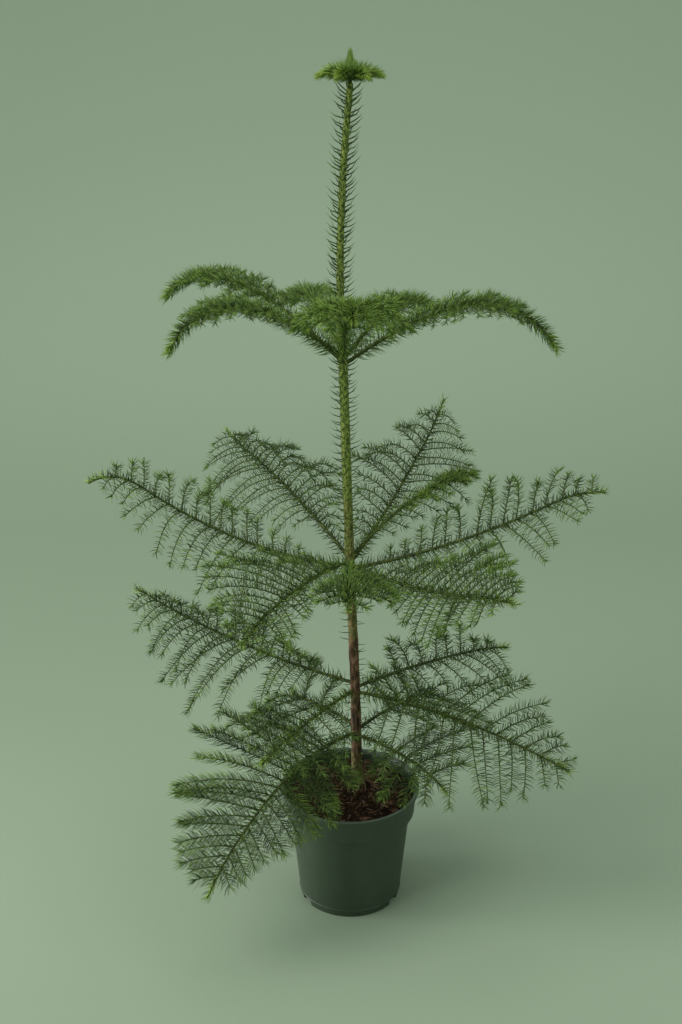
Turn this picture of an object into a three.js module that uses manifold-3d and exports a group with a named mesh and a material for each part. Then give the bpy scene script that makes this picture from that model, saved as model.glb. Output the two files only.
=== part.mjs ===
// A young Norfolk Island pine in a round nursery pot: trunk, boughs, fronds, soil and pot as separate solids.
// Millimetres, +Z up. The origin is the middle of the pot's flat underside, and the crown faces -Y.
import * as THREE from "three";
import Module from "manifold-3d";

const wasm = await Module();
wasm.setup();

// Sizes of the pot and the soil
const GAP = 0.3; // air between neighbouring pieces
const POT_HEIGHT = 101.6;
const POT_SIDES = 32;
const RIM_RADIUS = 57;
const LIP_HEIGHT = 2.8; // the flange round the mouth
const LIP = 2.4; // how far it stands out from the collar
const COLLAR_HEIGHT = 22; // the wider band under the rim
const COLLAR_FOOT_RADIUS = 53.2;
const COLLAR_CHAMFER = 2.2;
const WALL_TOP_RADIUS = 49.3;
const WALL_FOOT_RADIUS = 42.4;
const WALL = 1.6;
const FLOOR = 3;
const FOOT_HEIGHT = 6.5; // the ring that the pot stands on
const FOOT_RADIUS = 41.4;
const DRAIN = { count: 3, width: 11, height: 4.6, depth: 6, first: 90 }; // notches in the foot, degrees
const SOIL_BELOW_RIM = 9;
const SOIL_MOUND = 6; // how far the soil rises round the trunk
const MOUND_RADIUS = 22;
const SOIL_SIDES = 24;

// Sizes of the trunk
const GROUND = POT_HEIGHT - SOIL_BELOW_RIM + SOIL_MOUND;
const TRUNK_FOOT = GROUND + GAP;
const TRUNK_TIP = 658;
const TRUNK_LINE = [ // places on its middle, and its radius there without the root flare
  { z: TRUNK_FOOT, x: 5.9, y: 10, radius: 4.6 },
  { z: 190, x: 3.7, y: 6, radius: 4.0 },
  { z: 300, x: -0.6, y: 3, radius: 3.6 },
  { z: 463, x: -6.2, y: 0, radius: 3.3 },
  { z: 530, x: -8.2, y: 0, radius: 2.5 },
  { z: 600, x: -6.1, y: 0, radius: 2.4 },
  { z: TRUNK_TIP, x: -1.4, y: 0, radius: 2.2 },
];
const ROOT_FLARE = { width: 1.8, height: 6 };
const TRUNK_SIDES = 8;
const TRUNK_STEPS = 16;
const LEADER_NEEDLE = { length: 12, width: 1.9, rise: 36, lower: 0.75 }; // rise in degrees above level;
// lower is the part of the length that the needles below the youngest whorl have
const BARE_SECTOR = Math.cos(THREE.MathUtils.degToRad(53)); // within this angle of the bough
const BARE_BAND = { below: 10, above: 24 }; // where a bough leaves the trunk, no needle stands
const LEADER_NEEDLES = { from: 120, thickFrom: 475, to: 648, thinStep: 17, thickStep: 5.2, turn: 137.5 };

// Sizes of the boughs and their fronds
const SEED = 7320;
const BOUGH_RADIUS = { root: 1.5, tip: 0.7 };
const STAGGER = 2; // step in height between the boughs of a whorl, so that their roots stay apart
const BOUGH_SIDES = 5;
const STEM_SIDES = 3;
const TWIG_STEP = 22; // along the stem, from one pair of side twigs to the next
const TWIG_ANGLE = { first: 76, last: 56 }; // degrees from the stem
const TWIG_LIFT = 0.3; // how steeply a twig leaves the frond's face
const SHORTEST_TWIG = 13;
const FIRST_TWIG = 8; // from the end of the bare bough to the first pair
const TWIG_SCATTER = { place: 0.18, angle: 6, length: 0.14 }; // part of a step, degrees, part of a length
const WIDEST = { place: 0.3, atTrunk: 0.74, atTip: 0.2, fullness: 1.5 }; // outline of a frond
const SPRAY = { halfWidth: 6.2, thickness: 1.5, tooth: 28, rib: 0.3 };
const LAST_TWIG = 0.94; // place of the last pair along the bough
const TIP_NOD = 0.8; // place where a bough's tip begins to nod
const TIP_SPRAY = 0.84; // place where the spray at the bough's own tip begins
const ROPE = { halfWidth: 8.5, tooth: 20, from: 0.3 }; // the upright needles of the youngest whorl

// Each whorl: its height, the bare start of each bough, and the step from one pair of side twigs to the next.
// Each bough: azimuth (degrees, 0 is +X and 90 is +Y), reach, launch (degrees above level), knee (place of
// the bend, as a part of the reach), rise of its tip, nod, how far the tip then hangs below that curve,
// facing, how far its frond turns to the front (degrees), left and right, the longest twig on either side as
// seen from the trunk, and sag, how far a twig's tip hangs as a part of its length.
const WHORLS = [
  {
    name: "whorl1", height: 463, bare: 24, twigStep: 28, rope: true,
    boughs: [
      {
        name: "right", azimuth: -10, reach: 154, launch: 39, knee: 0.71, rise: 20,
        nod: 0, facing: 6, left: 22, right: 22, sag: 0.34,
      },
      {
        name: "back_right", azimuth: 50, reach: 104, launch: 34, knee: 0.7, rise: 20,
        nod: 0, facing: 6, left: 22, right: 22, sag: 0.34,
      },
      {
        name: "back_left", azimuth: 112, reach: 104, launch: 36, knee: 0.7, rise: 16,
        nod: 0, facing: 6, left: 22, right: 22, sag: 0.34,
      },
      {
        name: "left_back", azimuth: 157, reach: 146, launch: 41, knee: 0.7, rise: 36,
        nod: 0, facing: 6, left: 22, right: 22, sag: 0.34,
      },
      {
        name: "left_front", azimuth: 201, reach: 130, launch: 40, knee: 0.74, rise: 17,
        nod: 0, facing: 6, left: 22, right: 22, sag: 0.34,
      },
      {
        name: "front", azimuth: 274, reach: 92, launch: 54, knee: 0.62, rise: 56,
        nod: 0, facing: 6, left: 48, right: 48, sag: 0.55,
      },
    ],
  },
  {
    name: "whorl2", height: 299, bare: 26, twigStep: TWIG_STEP,
    boughs: [
      {
        name: "right", azimuth: -3, reach: 192, launch: 12, knee: 0.5, rise: 80,
        nod: 13, facing: 18, left: 74, right: 64, sag: 0.34,
      },
      {
        name: "back_right", azimuth: 57, reach: 144, launch: 24, knee: 0.5, rise: 90,
        nod: -6, facing: 27, left: 64, right: 68, sag: 0.4,
      },
      {
        name: "back_left", azimuth: 127, reach: 173, launch: 26, knee: 0.5, rise: 55,
        nod: -4, facing: 27, left: 78, right: 78, sag: 0.65,
      },
      {
        name: "left", azimuth: 175, reach: 203, launch: 3.5, knee: 0.5, rise: 92,
        nod: 30, facing: 18, left: 62, right: 60, sag: 0.4,
      },
      {
        name: "front_left", azimuth: 242, reach: 158, launch: 13, knee: 0.5, rise: 4,
        nod: 6, facing: 36, left: 75, right: 75, sag: 0.34,
      },
      {
        name: "front", azimuth: 269, reach: 140, launch: 21, knee: 0.5, rise: 37,
        nod: 6, facing: 36, left: 75, right: 75, sag: 0.28,
      },
      {
        name: "front_right", azimuth: 308, reach: 180, launch: 1, knee: 0.5, rise: 38,
        nod: 6, facing: 34, left: 76, right: 62, sag: 0.34,
      },
      {
        name: "between", azimuth: 36, reach: 125, launch: 38, knee: 0.5, rise: 46,
        nod: 4, facing: -12, left: 40, right: 40, sag: 0.34,
      },
    ],
  },
  {
    name: "whorl3", height: 188.5, bare: 30, twigStep: TWIG_STEP,
    boughs: [
      {
        name: "right_front", azimuth: -27, reach: 182, launch: 6, knee: 0.45, rise: -23,
        nod: 0, facing: 27, left: 73, right: 73, sag: 0.34,
      },
      {
        name: "right_back", azimuth: 27, reach: 146, launch: 9, knee: 0.5, rise: 5,
        nod: 3, facing: 16, left: 60, right: 54, sag: 0.5,
      },
      {
        name: "left", azimuth: 162, reach: 190, launch: 8, knee: 0.55, rise: 57,
        nod: 0, facing: 8, left: 73, right: 48, sag: 0.62,
      },
      {
        name: "front_left", azimuth: 230, reach: 112, launch: 0, knee: 0.5, rise: -16,
        nod: 2, facing: 27, left: 46, right: 50, sag: 0.34,
      },
    ],
  },
  {
    name: "whorl4", height: 147.5, bare: 34, twigStep: TWIG_STEP,
    boughs: [
      {
        name: "right", azimuth: -40, reach: 92, launch: 8, knee: 0.5, rise: -14,
        nod: 3, facing: 20, left: 54, right: 46, sag: 0.2,
      },
      {
        name: "back_right", azimuth: 47, reach: 100, launch: 10, knee: 0.5, rise: -4,
        nod: 3, facing: 20, left: 50, right: 76, sag: 0.2,
      },
      {
        name: "back_left", azimuth: 135, reach: 90, launch: 10, knee: 0.5, rise: -4,
        nod: 3, facing: 20, left: 76, right: 50, sag: 0.2,
      },
      {
        name: "left_front", azimuth: 229.5, reach: 174, launch: 14, knee: 0.5, rise: -60,
        nod: 4, facing: 28, left: 54, right: 88, sag: 0.2,
      },
    ],
  },
];
const TUFT = { shoots: 6, reach: 25, arch: 5, droop: 2, height: 19, halfWidth: 6.5, roll: 40 };
const BUD = { radius: 3, needles: 6 };

// Colours of the pieces
const FINISH = {
  pot: { color: 0x2f4a3a, roughness: 0.6, metalness: 0 },
  soil: { color: 0x3b2318, roughness: 1, metalness: 0 },
  bark: { color: 0x5b4a34, roughness: 0.9, metalness: 0 },
  bough: { color: 0x3e4a26, roughness: 0.85, metalness: 0 },
  needles: { color: 0x3f6b2c, roughness: 0.7, metalness: 0 },
};

const UP = new THREE.Vector3(0, 0, 1);
const FRONT = new THREE.Vector3(0, -1, 0);
const radians = THREE.MathUtils.degToRad;
const mix = THREE.MathUtils.lerp;

// A seeded row of numbers from 0 to 1, the same on every run.
function numbersFrom(seed) {
  let state = seed >>> 0;
  return () => {
    state = (Math.imul(state, 1664525) + 1013904223) >>> 0;
    return state / 4294967296;
  };
}

// A closed solid from its corner points and triangles, turned so that it faces outwards.
function solidOf(points, faces) {
  const vertProperties = new Float32Array(points.flatMap((p) => [p.x, p.y, p.z]));
  const build = (list) =>
    new wasm.Manifold(new wasm.Mesh({ numProp: 3, vertProperties, triVerts: new Uint32Array(list.flat()) }));
  const solid = build(faces);
  return solid.volume() < 0 ? build(faces.map(([a, b, c]) => [a, c, b])) : solid;
}

function solidOfGeometry(geometry) {
  const place = geometry.getAttribute("position");
  const merged = new Map();
  const points = [];
  const number = [];
  for (let i = 0; i < place.count; i++) {
    const point = new THREE.Vector3().fromBufferAttribute(place, i);
    const key = point.toArray().map((value) => Math.round(value * 1e4)).join();
    if (!merged.has(key)) merged.set(key, points.push(point) - 1);
    number.push(merged.get(key));
  }
  const corner = geometry.index ? Array.from(geometry.index.array) : number.map((_, i) => i);
  const faces = [];
  for (let i = 0; i < corner.length; i += 3) {
    const face = corner.slice(i, i + 3).map((vertex) => number[vertex]);
    if (new Set(face).size === 3) faces.push(face);
  }
  return solidOf(points, faces);
}

// A round piece turned about +Z from a profile of [radius, height] points that starts and ends on the axis.
function turned(profile, sides) {
  const points = profile.map(([radius, height]) => new THREE.Vector2(radius, height));
  return solidOfGeometry(new THREE.LatheGeometry(points, sides).rotateX(Math.PI / 2));
}

// The largest body of a solid, without loose scraps.
function wholeOf(solid) {
  return solid.decompose().sort((a, b) => b.volume() - a.volume())[0];
}

function meshOf(name, solid, finish) {
  const { numProp, numVert, vertProperties, triVerts } = solid.getMesh();
  const places = new Float32Array(numVert * 3);
  for (let i = 0; i < numVert; i++) places.set(vertProperties.subarray(i * numProp, i * numProp + 3), i * 3);
  const geometry = new THREE.BufferGeometry()
    .setAttribute("position", new THREE.BufferAttribute(places, 3))
    .setIndex(new THREE.BufferAttribute(triVerts, 1));
  geometry.computeVertexNormals();
  const mesh = new THREE.Mesh(geometry, new THREE.MeshStandardMaterial(finish));
  mesh.name = name;
  return mesh;
}

// A limb: rings round path(s) for s between two places, radius(s) wide, with flat ends.
function limb(path, radius, from, to, steps, sides) {
  const points = [];
  const faces = [];
  const small = (to - from) / 100;
  for (let j = 0; j <= steps; j++) {
    const s = mix(from, to, j / steps);
    const along = path(s + small).sub(path(s - small)).normalize();
    const reference = Math.abs(along.z) > 0.9 ? FRONT : UP;
    const side = new THREE.Vector3().crossVectors(along, reference).normalize();
    const above = new THREE.Vector3().crossVectors(side, along);
    for (let i = 0; i < sides; i++) {
      const turn = (2 * Math.PI * i) / sides;
      const out = side.clone().multiplyScalar(Math.cos(turn)).addScaledVector(above, Math.sin(turn));
      points.push(path(s).addScaledVector(out, radius(s)));
    }
  }
  for (let j = 0; j < steps; j++) {
    for (let i = 0; i < sides; i++) {
      const a = j * sides + i;
      const b = j * sides + ((i + 1) % sides);
      faces.push([a, b, b + sides], [a, b + sides, a + sides]);
    }
  }
  const last = steps * sides;
  for (let i = 1; i < sides - 1; i++) faces.push([0, i + 1, i], [last, last + i, last + i + 1]);
  return solidOf(points, faces);
}

// A spray of needles: a blade along path(t), thick at its rib, with teeth that point forwards on both
// edges. across is the unit vector from the rib to the teeth, out the one through the blade.
function spray(path, across, out, teeth, halfWidth, thickness) {
  const points = [];
  const faces = [];
  const body = 0.82; // the part of the length that carries teeth
  const put = (place, sideways, outwards) =>
    points.push(path(place).addScaledVector(across, sideways).addScaledVector(out, outwards)) - 1;
  const station = (i) => {
    const place = (body * i) / teeth;
    const half = (thickness / 2) * (1 - 0.55 * place);
    const notch = halfWidth * SPRAY.rib * (1 - 0.5 * place);
    return {
      faces: [put(place, 0, half), put(place, 0, -half)],
      notches: [put(place, notch, 0), put(place, -notch, 0)],
    };
  };
  const stations = Array.from({ length: teeth + 1 }, (_, i) => station(i));
  const tip = put(1, 0, 0);
  const tooth = (i, side) => {
    const place = (body * (i + 1.2)) / teeth;
    return put(place, side * halfWidth * (1 - 0.45 * place * place), 0);
  };
  for (const [edge, side] of [[0, 1], [1, -1]]) {
    const fan = (flip, corners) => faces.push(flip ? [corners[0], corners[2], corners[1]] : corners);
    const ends = Array.from({ length: teeth }, (_, i) => tooth(i, side));
    for (const face of [0, 1]) {
      const flip = edge !== face;
      for (let i = 0; i < teeth; i++) {
        const here = stations[i];
        const next = stations[i + 1];
        fan(flip, [here.faces[face], here.notches[edge], ends[i]]);
        fan(flip, [here.faces[face], ends[i], next.notches[edge]]);
        fan(flip, [here.faces[face], next.notches[edge], next.faces[face]]);
      }
      fan(flip, [stations[teeth].faces[face], stations[teeth].notches[edge], tip]);
    }
  }
  const { faces: [top, bottom], notches: [left, right] } = stations[0];
  faces.push([top, bottom, left], [bottom, top, right]);
  return solidOf(points, faces);
}

// One needle: a three-sided spike from its root along a direction.
function needle(root, along, length, width) {
  const reference = Math.abs(along.z) > 0.9 ? FRONT : UP;
  const side = new THREE.Vector3().crossVectors(along, reference).normalize();
  const above = new THREE.Vector3().crossVectors(side, along);
  const corners = [0, 1, 2].map((i) => {
    const turn = (2 * Math.PI * i) / 3;
    const out = side.clone().multiplyScalar(Math.cos(turn)).addScaledVector(above, Math.sin(turn));
    return root.clone().addScaledVector(out, width / 2);
  });
  const tip = root.clone().addScaledVector(along, length);
  return solidOf([...corners, tip], [[0, 2, 1], [0, 1, 3], [1, 2, 3], [2, 0, 3]]);
}

// One value of the trunk at a height, on a smooth line through the points of TRUNK_LINE.
function trunkValue(z, axis) {
  const last = TRUNK_LINE.length - 1;
  let i = 0;
  while (i < last - 1 && z > TRUNK_LINE[i + 1].z) i++;
  const slope = (k) => {
    const before = TRUNK_LINE[Math.max(k - 1, 0)];
    const after = TRUNK_LINE[Math.min(k + 1, last)];
    return (after[axis] - before[axis]) / (after.z - before.z);
  };
  const [p, q] = [TRUNK_LINE[i], TRUNK_LINE[i + 1]];
  const span = q.z - p.z;
  const t = (z - p.z) / span;
  return p[axis] * (2 * t ** 3 - 3 * t ** 2 + 1) + q[axis] * (3 * t ** 2 - 2 * t ** 3)
    + span * (slope(i) * (t ** 3 - 2 * t ** 2 + t) + slope(i + 1) * (t ** 3 - t ** 2));
}

// The middle of the trunk at a height.
function trunkAt(z) {
  return new THREE.Vector3(trunkValue(z, "x"), trunkValue(z, "y"), z);
}

// The trunk's radius at a height, with the flare that dies away above its foot.
function trunkRadius(z) {
  return trunkValue(z, "radius") + ROOT_FLARE.width * Math.exp((TRUNK_FOOT - z) / ROOT_FLARE.height);
}

// The pot: a thin wall with a collar, a floor, and notches in its foot for water to drain.
function makePot() {
  const collarFoot = POT_HEIGHT - COLLAR_HEIGHT;
  const shell = turned(
    [
      [0, 0],
      [FOOT_RADIUS, 0],
      [FOOT_RADIUS, FOOT_HEIGHT],
      [WALL_FOOT_RADIUS, FOOT_HEIGHT],
      [WALL_TOP_RADIUS, collarFoot - COLLAR_CHAMFER],
      [COLLAR_FOOT_RADIUS, collarFoot],
      [RIM_RADIUS - LIP, POT_HEIGHT - LIP_HEIGHT],
      [RIM_RADIUS, POT_HEIGHT - LIP_HEIGHT],
      [RIM_RADIUS, POT_HEIGHT],
      [RIM_RADIUS - LIP, POT_HEIGHT],
      [RIM_RADIUS - LIP - WALL, POT_HEIGHT - LIP_HEIGHT],
      [COLLAR_FOOT_RADIUS - WALL, collarFoot],
      [WALL_TOP_RADIUS - WALL, collarFoot - COLLAR_CHAMFER],
      [WALL_FOOT_RADIUS - WALL, FOOT_HEIGHT],
      [FOOT_RADIUS - WALL, FLOOR],
      [0, FLOOR],
    ],
    POT_SIDES,
  );
  const notches = Array.from({ length: DRAIN.count }, (_, i) => {
    const box = new THREE.BoxGeometry(2 * DRAIN.depth, DRAIN.width, 2 * DRAIN.height);
    box.translate(FOOT_RADIUS, 0, 0).rotateZ(radians(DRAIN.first + (360 * i) / DRAIN.count));
    return solidOfGeometry(box);
  });
  return shell.subtract(wasm.Manifold.union(notches));
}

// The soil: fills the pot GAP clear of its wall and floor, and rises to a flat mound round the trunk.
function makeSoil() {
  const collarFoot = POT_HEIGHT - COLLAR_HEIGHT;
  const edge = POT_HEIGHT - SOIL_BELOW_RIM;
  const inset = WALL + 2 * GAP; // the wall's flat sides stand nearer than its corners
  const part = (edge - collarFoot) / (COLLAR_HEIGHT - LIP_HEIGHT);
  const edgeRadius = mix(COLLAR_FOOT_RADIUS, RIM_RADIUS - LIP, part) - inset;
  return turned(
    [
      [0, FLOOR + GAP],
      [FOOT_RADIUS - inset, FLOOR + GAP],
      [WALL_FOOT_RADIUS - inset, FOOT_HEIGHT + GAP],
      [WALL_TOP_RADIUS - inset, collarFoot - COLLAR_CHAMFER + GAP],
      [COLLAR_FOOT_RADIUS - inset, collarFoot + 2 * GAP],
      [edgeRadius, edge],
      [mix(edgeRadius, MOUND_RADIUS, 0.5), mix(edge, GROUND, 0.6)],
      [MOUND_RADIUS, GROUND],
      [0, GROUND],
    ],
    SOIL_SIDES,
  );
}

function trunkLimb(extra) {
  return limb(trunkAt, (z) => trunkRadius(z) + extra, TRUNK_FOOT, TRUNK_TIP, TRUNK_STEPS, TRUNK_SIDES);
}

// The trunk with the needles that stand out along it, in a spiral that thickens on the leader.
// Around the foot of each bough the trunk stays clear of needles.
function makeTrunk(boughs) {
  const pieces = [trunkLimb(0)];
  const { from, thickFrom, to, thinStep, thickStep, turn } = LEADER_NEEDLES;
  let z = from;
  for (let i = 0; z < to; i++) {
    const azimuth = radians(turn * i);
    const level = new THREE.Vector3(Math.cos(azimuth), Math.sin(azimuth), 0);
    const near = boughs.some((bough) => {
      const rising = z - bough.whorl.height;
      const inBand = rising > -BARE_BAND.below && rising < BARE_BAND.above;
      return inBand && level.dot(bough.level) > BARE_SECTOR;
    });
    if (!near) {
      const along = level.clone().multiplyScalar(Math.cos(radians(LEADER_NEEDLE.rise)));
      along.addScaledVector(UP, Math.sin(radians(LEADER_NEEDLE.rise)));
      const root = trunkAt(z).addScaledVector(level, trunkRadius(z) * 0.4);
      const sunk = trunkRadius(z) * 0.6;
      const long = LEADER_NEEDLE.length * (z < thickFrom ? LEADER_NEEDLE.lower : 1);
      pieces.push(needle(root, along, long + sunk, LEADER_NEEDLE.width));
    }
    z += z < thickFrom ? thinStep : thickStep;
  }
  return wholeOf(wasm.Manifold.union(pieces));
}

// A bough's line: a curve with one bend in the upright plane at its azimuth, and the frame of its frond,
// whose face leans to the front by its facing angle.
function boughOf(whorl, row, index) {
  const order = whorl.boughs.indexOf(row);
  const azimuth = radians(row.azimuth);
  const level = new THREE.Vector3(Math.cos(azimuth), Math.sin(azimuth), 0);
  const start = trunkAt(whorl.height + STAGGER * (((2 * order) % 5) - 2));
  const bend = row.reach * row.knee;
  const climb = bend * Math.tan(radians(row.launch));
  const curve = new THREE.QuadraticBezierCurve3(
    start,
    start.clone().addScaledVector(level, bend).addScaledVector(UP, climb),
    start.clone().addScaledVector(level, row.reach).addScaledVector(UP, row.rise),
  );
  const face = UP.clone().multiplyScalar(Math.cos(radians(row.facing)));
  face.addScaledVector(FRONT, Math.sin(radians(row.facing)));
  const along = (s) => curve.getTangent(THREE.MathUtils.clamp(s, 0, 1));
  const out = (s) => {
    const tangent = along(s);
    return face.clone().addScaledVector(tangent, -face.dot(tangent)).normalize();
  };
  const side = (s) => new THREE.Vector3().crossVectors(out(s), along(s));
  const path = (s) => {
    const inside = THREE.MathUtils.clamp(s, 0, 1);
    const hang = row.nod * Math.max(0, (inside - TIP_NOD) / (1 - TIP_NOD)) ** 2;
    const beyond = (s - inside) * row.reach;
    return curve.getPoint(inside).addScaledVector(along(inside), beyond).addScaledVector(UP, -hang);
  };
  const length = curve.getLength();
  const radius = (s) => mix(BOUGH_RADIUS.root, BOUGH_RADIUS.tip, s);
  const bare = whorl.bare / length;
  return { ...row, whorl, index, level, start, path, along, out, side, length, radius, bare };
}

// How much a twig at part u of the row of pairs keeps of the longest length: shorter at the trunk, longest
// at WIDEST, then falling to the tip.
function twigShare(u) {
  const { place, atTrunk, atTip, fullness } = WIDEST;
  if (u < place) return mix(atTrunk, 1, u / place);
  return 1 - (1 - atTip) * ((u - place) / (1 - place)) ** fullness;
}

// The side twigs of a bough, in pairs, each with its root, direction and length. A twig stops at the
// upright plane half-way to the next bough of its whorl, and one left too short is skipped. The bough that
// grows between two others doesn't hold back their twigs.
function twigsOf(bough) {
  const next = numbersFrom(SEED + 101 * bough.index);
  const others = bough.whorl.boughs.filter((row) => row.name !== "between").map((row) => row.azimuth);
  const turnsTo = (side) => {
    const steps = others.map((azimuth) => (((side * (azimuth - bough.azimuth)) % 360) + 360) % 360);
    return Math.min(...steps.filter((step) => step > 0));
  };
  const first = bough.bare + FIRST_TWIG / bough.length;
  const step = bough.whorl.twigStep;
  const pairs = Math.floor(((LAST_TWIG - first) * bough.length) / step) + 1;
  const twigs = [];
  for (let k = 0; k < pairs; k++) {
    for (const side of [1, -1]) {
      const u = k / (pairs - 1);
      const shift = (TWIG_SCATTER.place * side * step * (next() - 0.5)) / bough.length;
      const s = mix(first, LAST_TWIG, u) + shift;
      const turn = TWIG_SCATTER.angle * (next() - 0.5);
      const angle = radians(mix(TWIG_ANGLE.first, TWIG_ANGLE.last, u) + turn);
      const longest = side > 0 ? bough.left : bough.right;
      const wanted = longest * twigShare(u) * (1 + TWIG_SCATTER.length * (next() - 0.5));
      const along = bough.along(s).multiplyScalar(Math.cos(angle));
      along.addScaledVector(bough.side(s), side * Math.sin(angle));
      along.addScaledVector(bough.out(s), TWIG_LIFT).normalize();
      const root = bough.path(s);
      const border = radians(bough.azimuth + (side * turnsTo(side)) / 2);
      const inwards = new THREE.Vector3(side * Math.sin(border), -side * Math.cos(border), 0);
      const room = root.clone().sub(bough.start).dot(inwards) - SPRAY.halfWidth - GAP;
      const closing = -along.dot(inwards);
      const length = closing > 0 ? Math.min(wanted, room / closing) : wanted;
      const twig = { root, along, length, sag: bough.sag, out: bough.out(s) };
      if (length > SHORTEST_TWIG) twigs.push(twig);
    }
  }
  return twigs;
}

function twigSpray(twig, part) {
  const length = twig.length * part;
  const path = (t) =>
    twig.root.clone().addScaledVector(twig.along, t * length).addScaledVector(UP, -twig.sag * t * t * length);
  const across = new THREE.Vector3().crossVectors(twig.out, twig.along).normalize();
  const teeth = Math.max(1, Math.round(length / SPRAY.tooth));
  return spray(path, across, twig.out, teeth, SPRAY.halfWidth, SPRAY.thickness);
}

// Whether a solid stays clear of every piece that belongs to another node.
function isClear(solid, node, placed) {
  const { min, max } = solid.boundingBox();
  return placed.every((other) => {
    if (other.node === node) return true;
    const box = other.box;
    const apart = [0, 1, 2].some((i) => min[i] > box.max[i] + 1 || max[i] < box.min[i] - 1);
    return apart || solid.minGap(other.solid, 1) > GAP;
  });
}

// The tuft at the top: a bud with short level shoots round it and needles that stand up.
function makeTuft() {
  const foot = trunkAt(TRUNK_TIP).addScaledVector(UP, GAP);
  const rise = (s) => foot.clone().addScaledVector(UP, s * TUFT.height);
  const pieces = [limb(rise, (s) => mix(BUD.radius, 0.8, s), 0, 1, 2, BOUGH_SIDES)];
  for (let i = 0; i < TUFT.shoots; i++) {
    const azimuth = (2 * Math.PI * (i + 0.08)) / TUFT.shoots;
    const level = new THREE.Vector3(Math.cos(azimuth), Math.sin(azimuth), 0);
    const arch = (t) => 4 * TUFT.arch * t * (1 - t) - TUFT.droop * t;
    const path = (t) =>
      rise(0.3).addScaledVector(level, TUFT.reach * t).addScaledVector(UP, arch(t));
    const turn = radians(i % 2 ? TUFT.roll : -TUFT.roll);
    const across = new THREE.Vector3().crossVectors(UP, level).applyAxisAngle(level, turn);
    const out = new THREE.Vector3().crossVectors(level, across);
    pieces.push(spray(path, across, out, 2, TUFT.halfWidth, 2 * SPRAY.thickness));
  }
  for (let i = 0; i < BUD.needles; i++) {
    const azimuth = radians(LEADER_NEEDLES.turn * i);
    const along = new THREE.Vector3(Math.cos(azimuth), Math.sin(azimuth), 1.6).normalize();
    pieces.push(needle(rise(0.3 + 0.09 * i), along, LEADER_NEEDLE.length, LEADER_NEEDLE.width));
  }
  return wholeOf(wasm.Manifold.union(pieces));
}

const plant = new THREE.Group();
const placed = [];
function place(node, solid, finish) {
  plant.add(meshOf(node, solid, finish));
  placed.push({ node, solid, box: solid.boundingBox() });
}

const rows = WHORLS.flatMap((whorl) => whorl.boughs.map((row) => ({ whorl, row })));
const boughs = rows.map(({ whorl, row }, index) => boughOf(whorl, row, index));
place("pot", makePot(), FINISH.pot);
place("soil", makeSoil(), FINISH.soil);
place("trunk", makeTrunk(boughs), FINISH.bark);
place("top_tuft", makeTuft(), FINISH.needles);

// Each bough runs from the trunk's side to where its needles thicken, and its frond's stem goes on from
// there.
const trunkRoom = trunkLimb(GAP);
const fronds = boughs.map((bough) => {
  const stemStart = bough.bare + GAP / bough.length;
  const bare = limb(bough.path, bough.radius, 0, bough.bare, 2, BOUGH_SIDES).subtract(trunkRoom);
  place(`bough_${bough.whorl.name}_${bough.name}`, wholeOf(bare), FINISH.bough);
  const stem = limb(bough.path, bough.radius, stemStart, TIP_SPRAY + 0.06, 5, STEM_SIDES);
  return { node: `needles_${bough.whorl.name}_${bough.name}`, bough, pieces: [stem] };
});
for (const frond of fronds) {
  const { bough, pieces } = frond;
  const start = bough.whorl.rope ? ROPE.from : TIP_SPRAY;
  const path = (t) => bough.path(mix(start, 1, t));
  const middle = mix(start, 1, 0.5);
  const [side, out] = [bough.side(middle), bough.out(middle)];
  const length = (1 - start) * bough.length;
  const { halfWidth, tooth } = bough.whorl.rope ? ROPE : SPRAY;
  const teeth = Math.max(2, Math.round(length / tooth));
  const [across, through] = bough.whorl.rope ? [out, side] : [side, out];
  pieces.push(spray(path, across, through, teeth, halfWidth, 2 * SPRAY.thickness));
  for (const piece of pieces) placed.push({ node: frond.node, solid: piece, box: piece.boundingBox() });
}
// A twig that would touch another node is tried shorter, then skipped.
const TWIG_PARTS = [1, 0.8, 0.6, 0.4];
for (const { node, bough, pieces } of fronds) {
  for (const twig of twigsOf(bough)) {
    const tries = TWIG_PARTS.map((part) => twigSpray(twig, part));
    const blade = tries.find((solid) => isClear(solid, node, placed));
    if (!blade) continue;
    pieces.push(blade);
    placed.push({ node, solid: blade, box: blade.boundingBox() });
  }
  plant.add(meshOf(node, wholeOf(wasm.Manifold.union(pieces)), FINISH.needles));
}

export default plant;
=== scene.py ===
"""A young Norfolk Island pine in a round nursery pot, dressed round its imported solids.

Sizes are in millimetres, as in the part's source, and become metres where a mesh is made. +Z is up, and -Y is
the side that the photograph shows. The boughs and twigs grow by the rule of the part's source, with finer
twigs between.
"""
from collections import namedtuple

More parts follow.
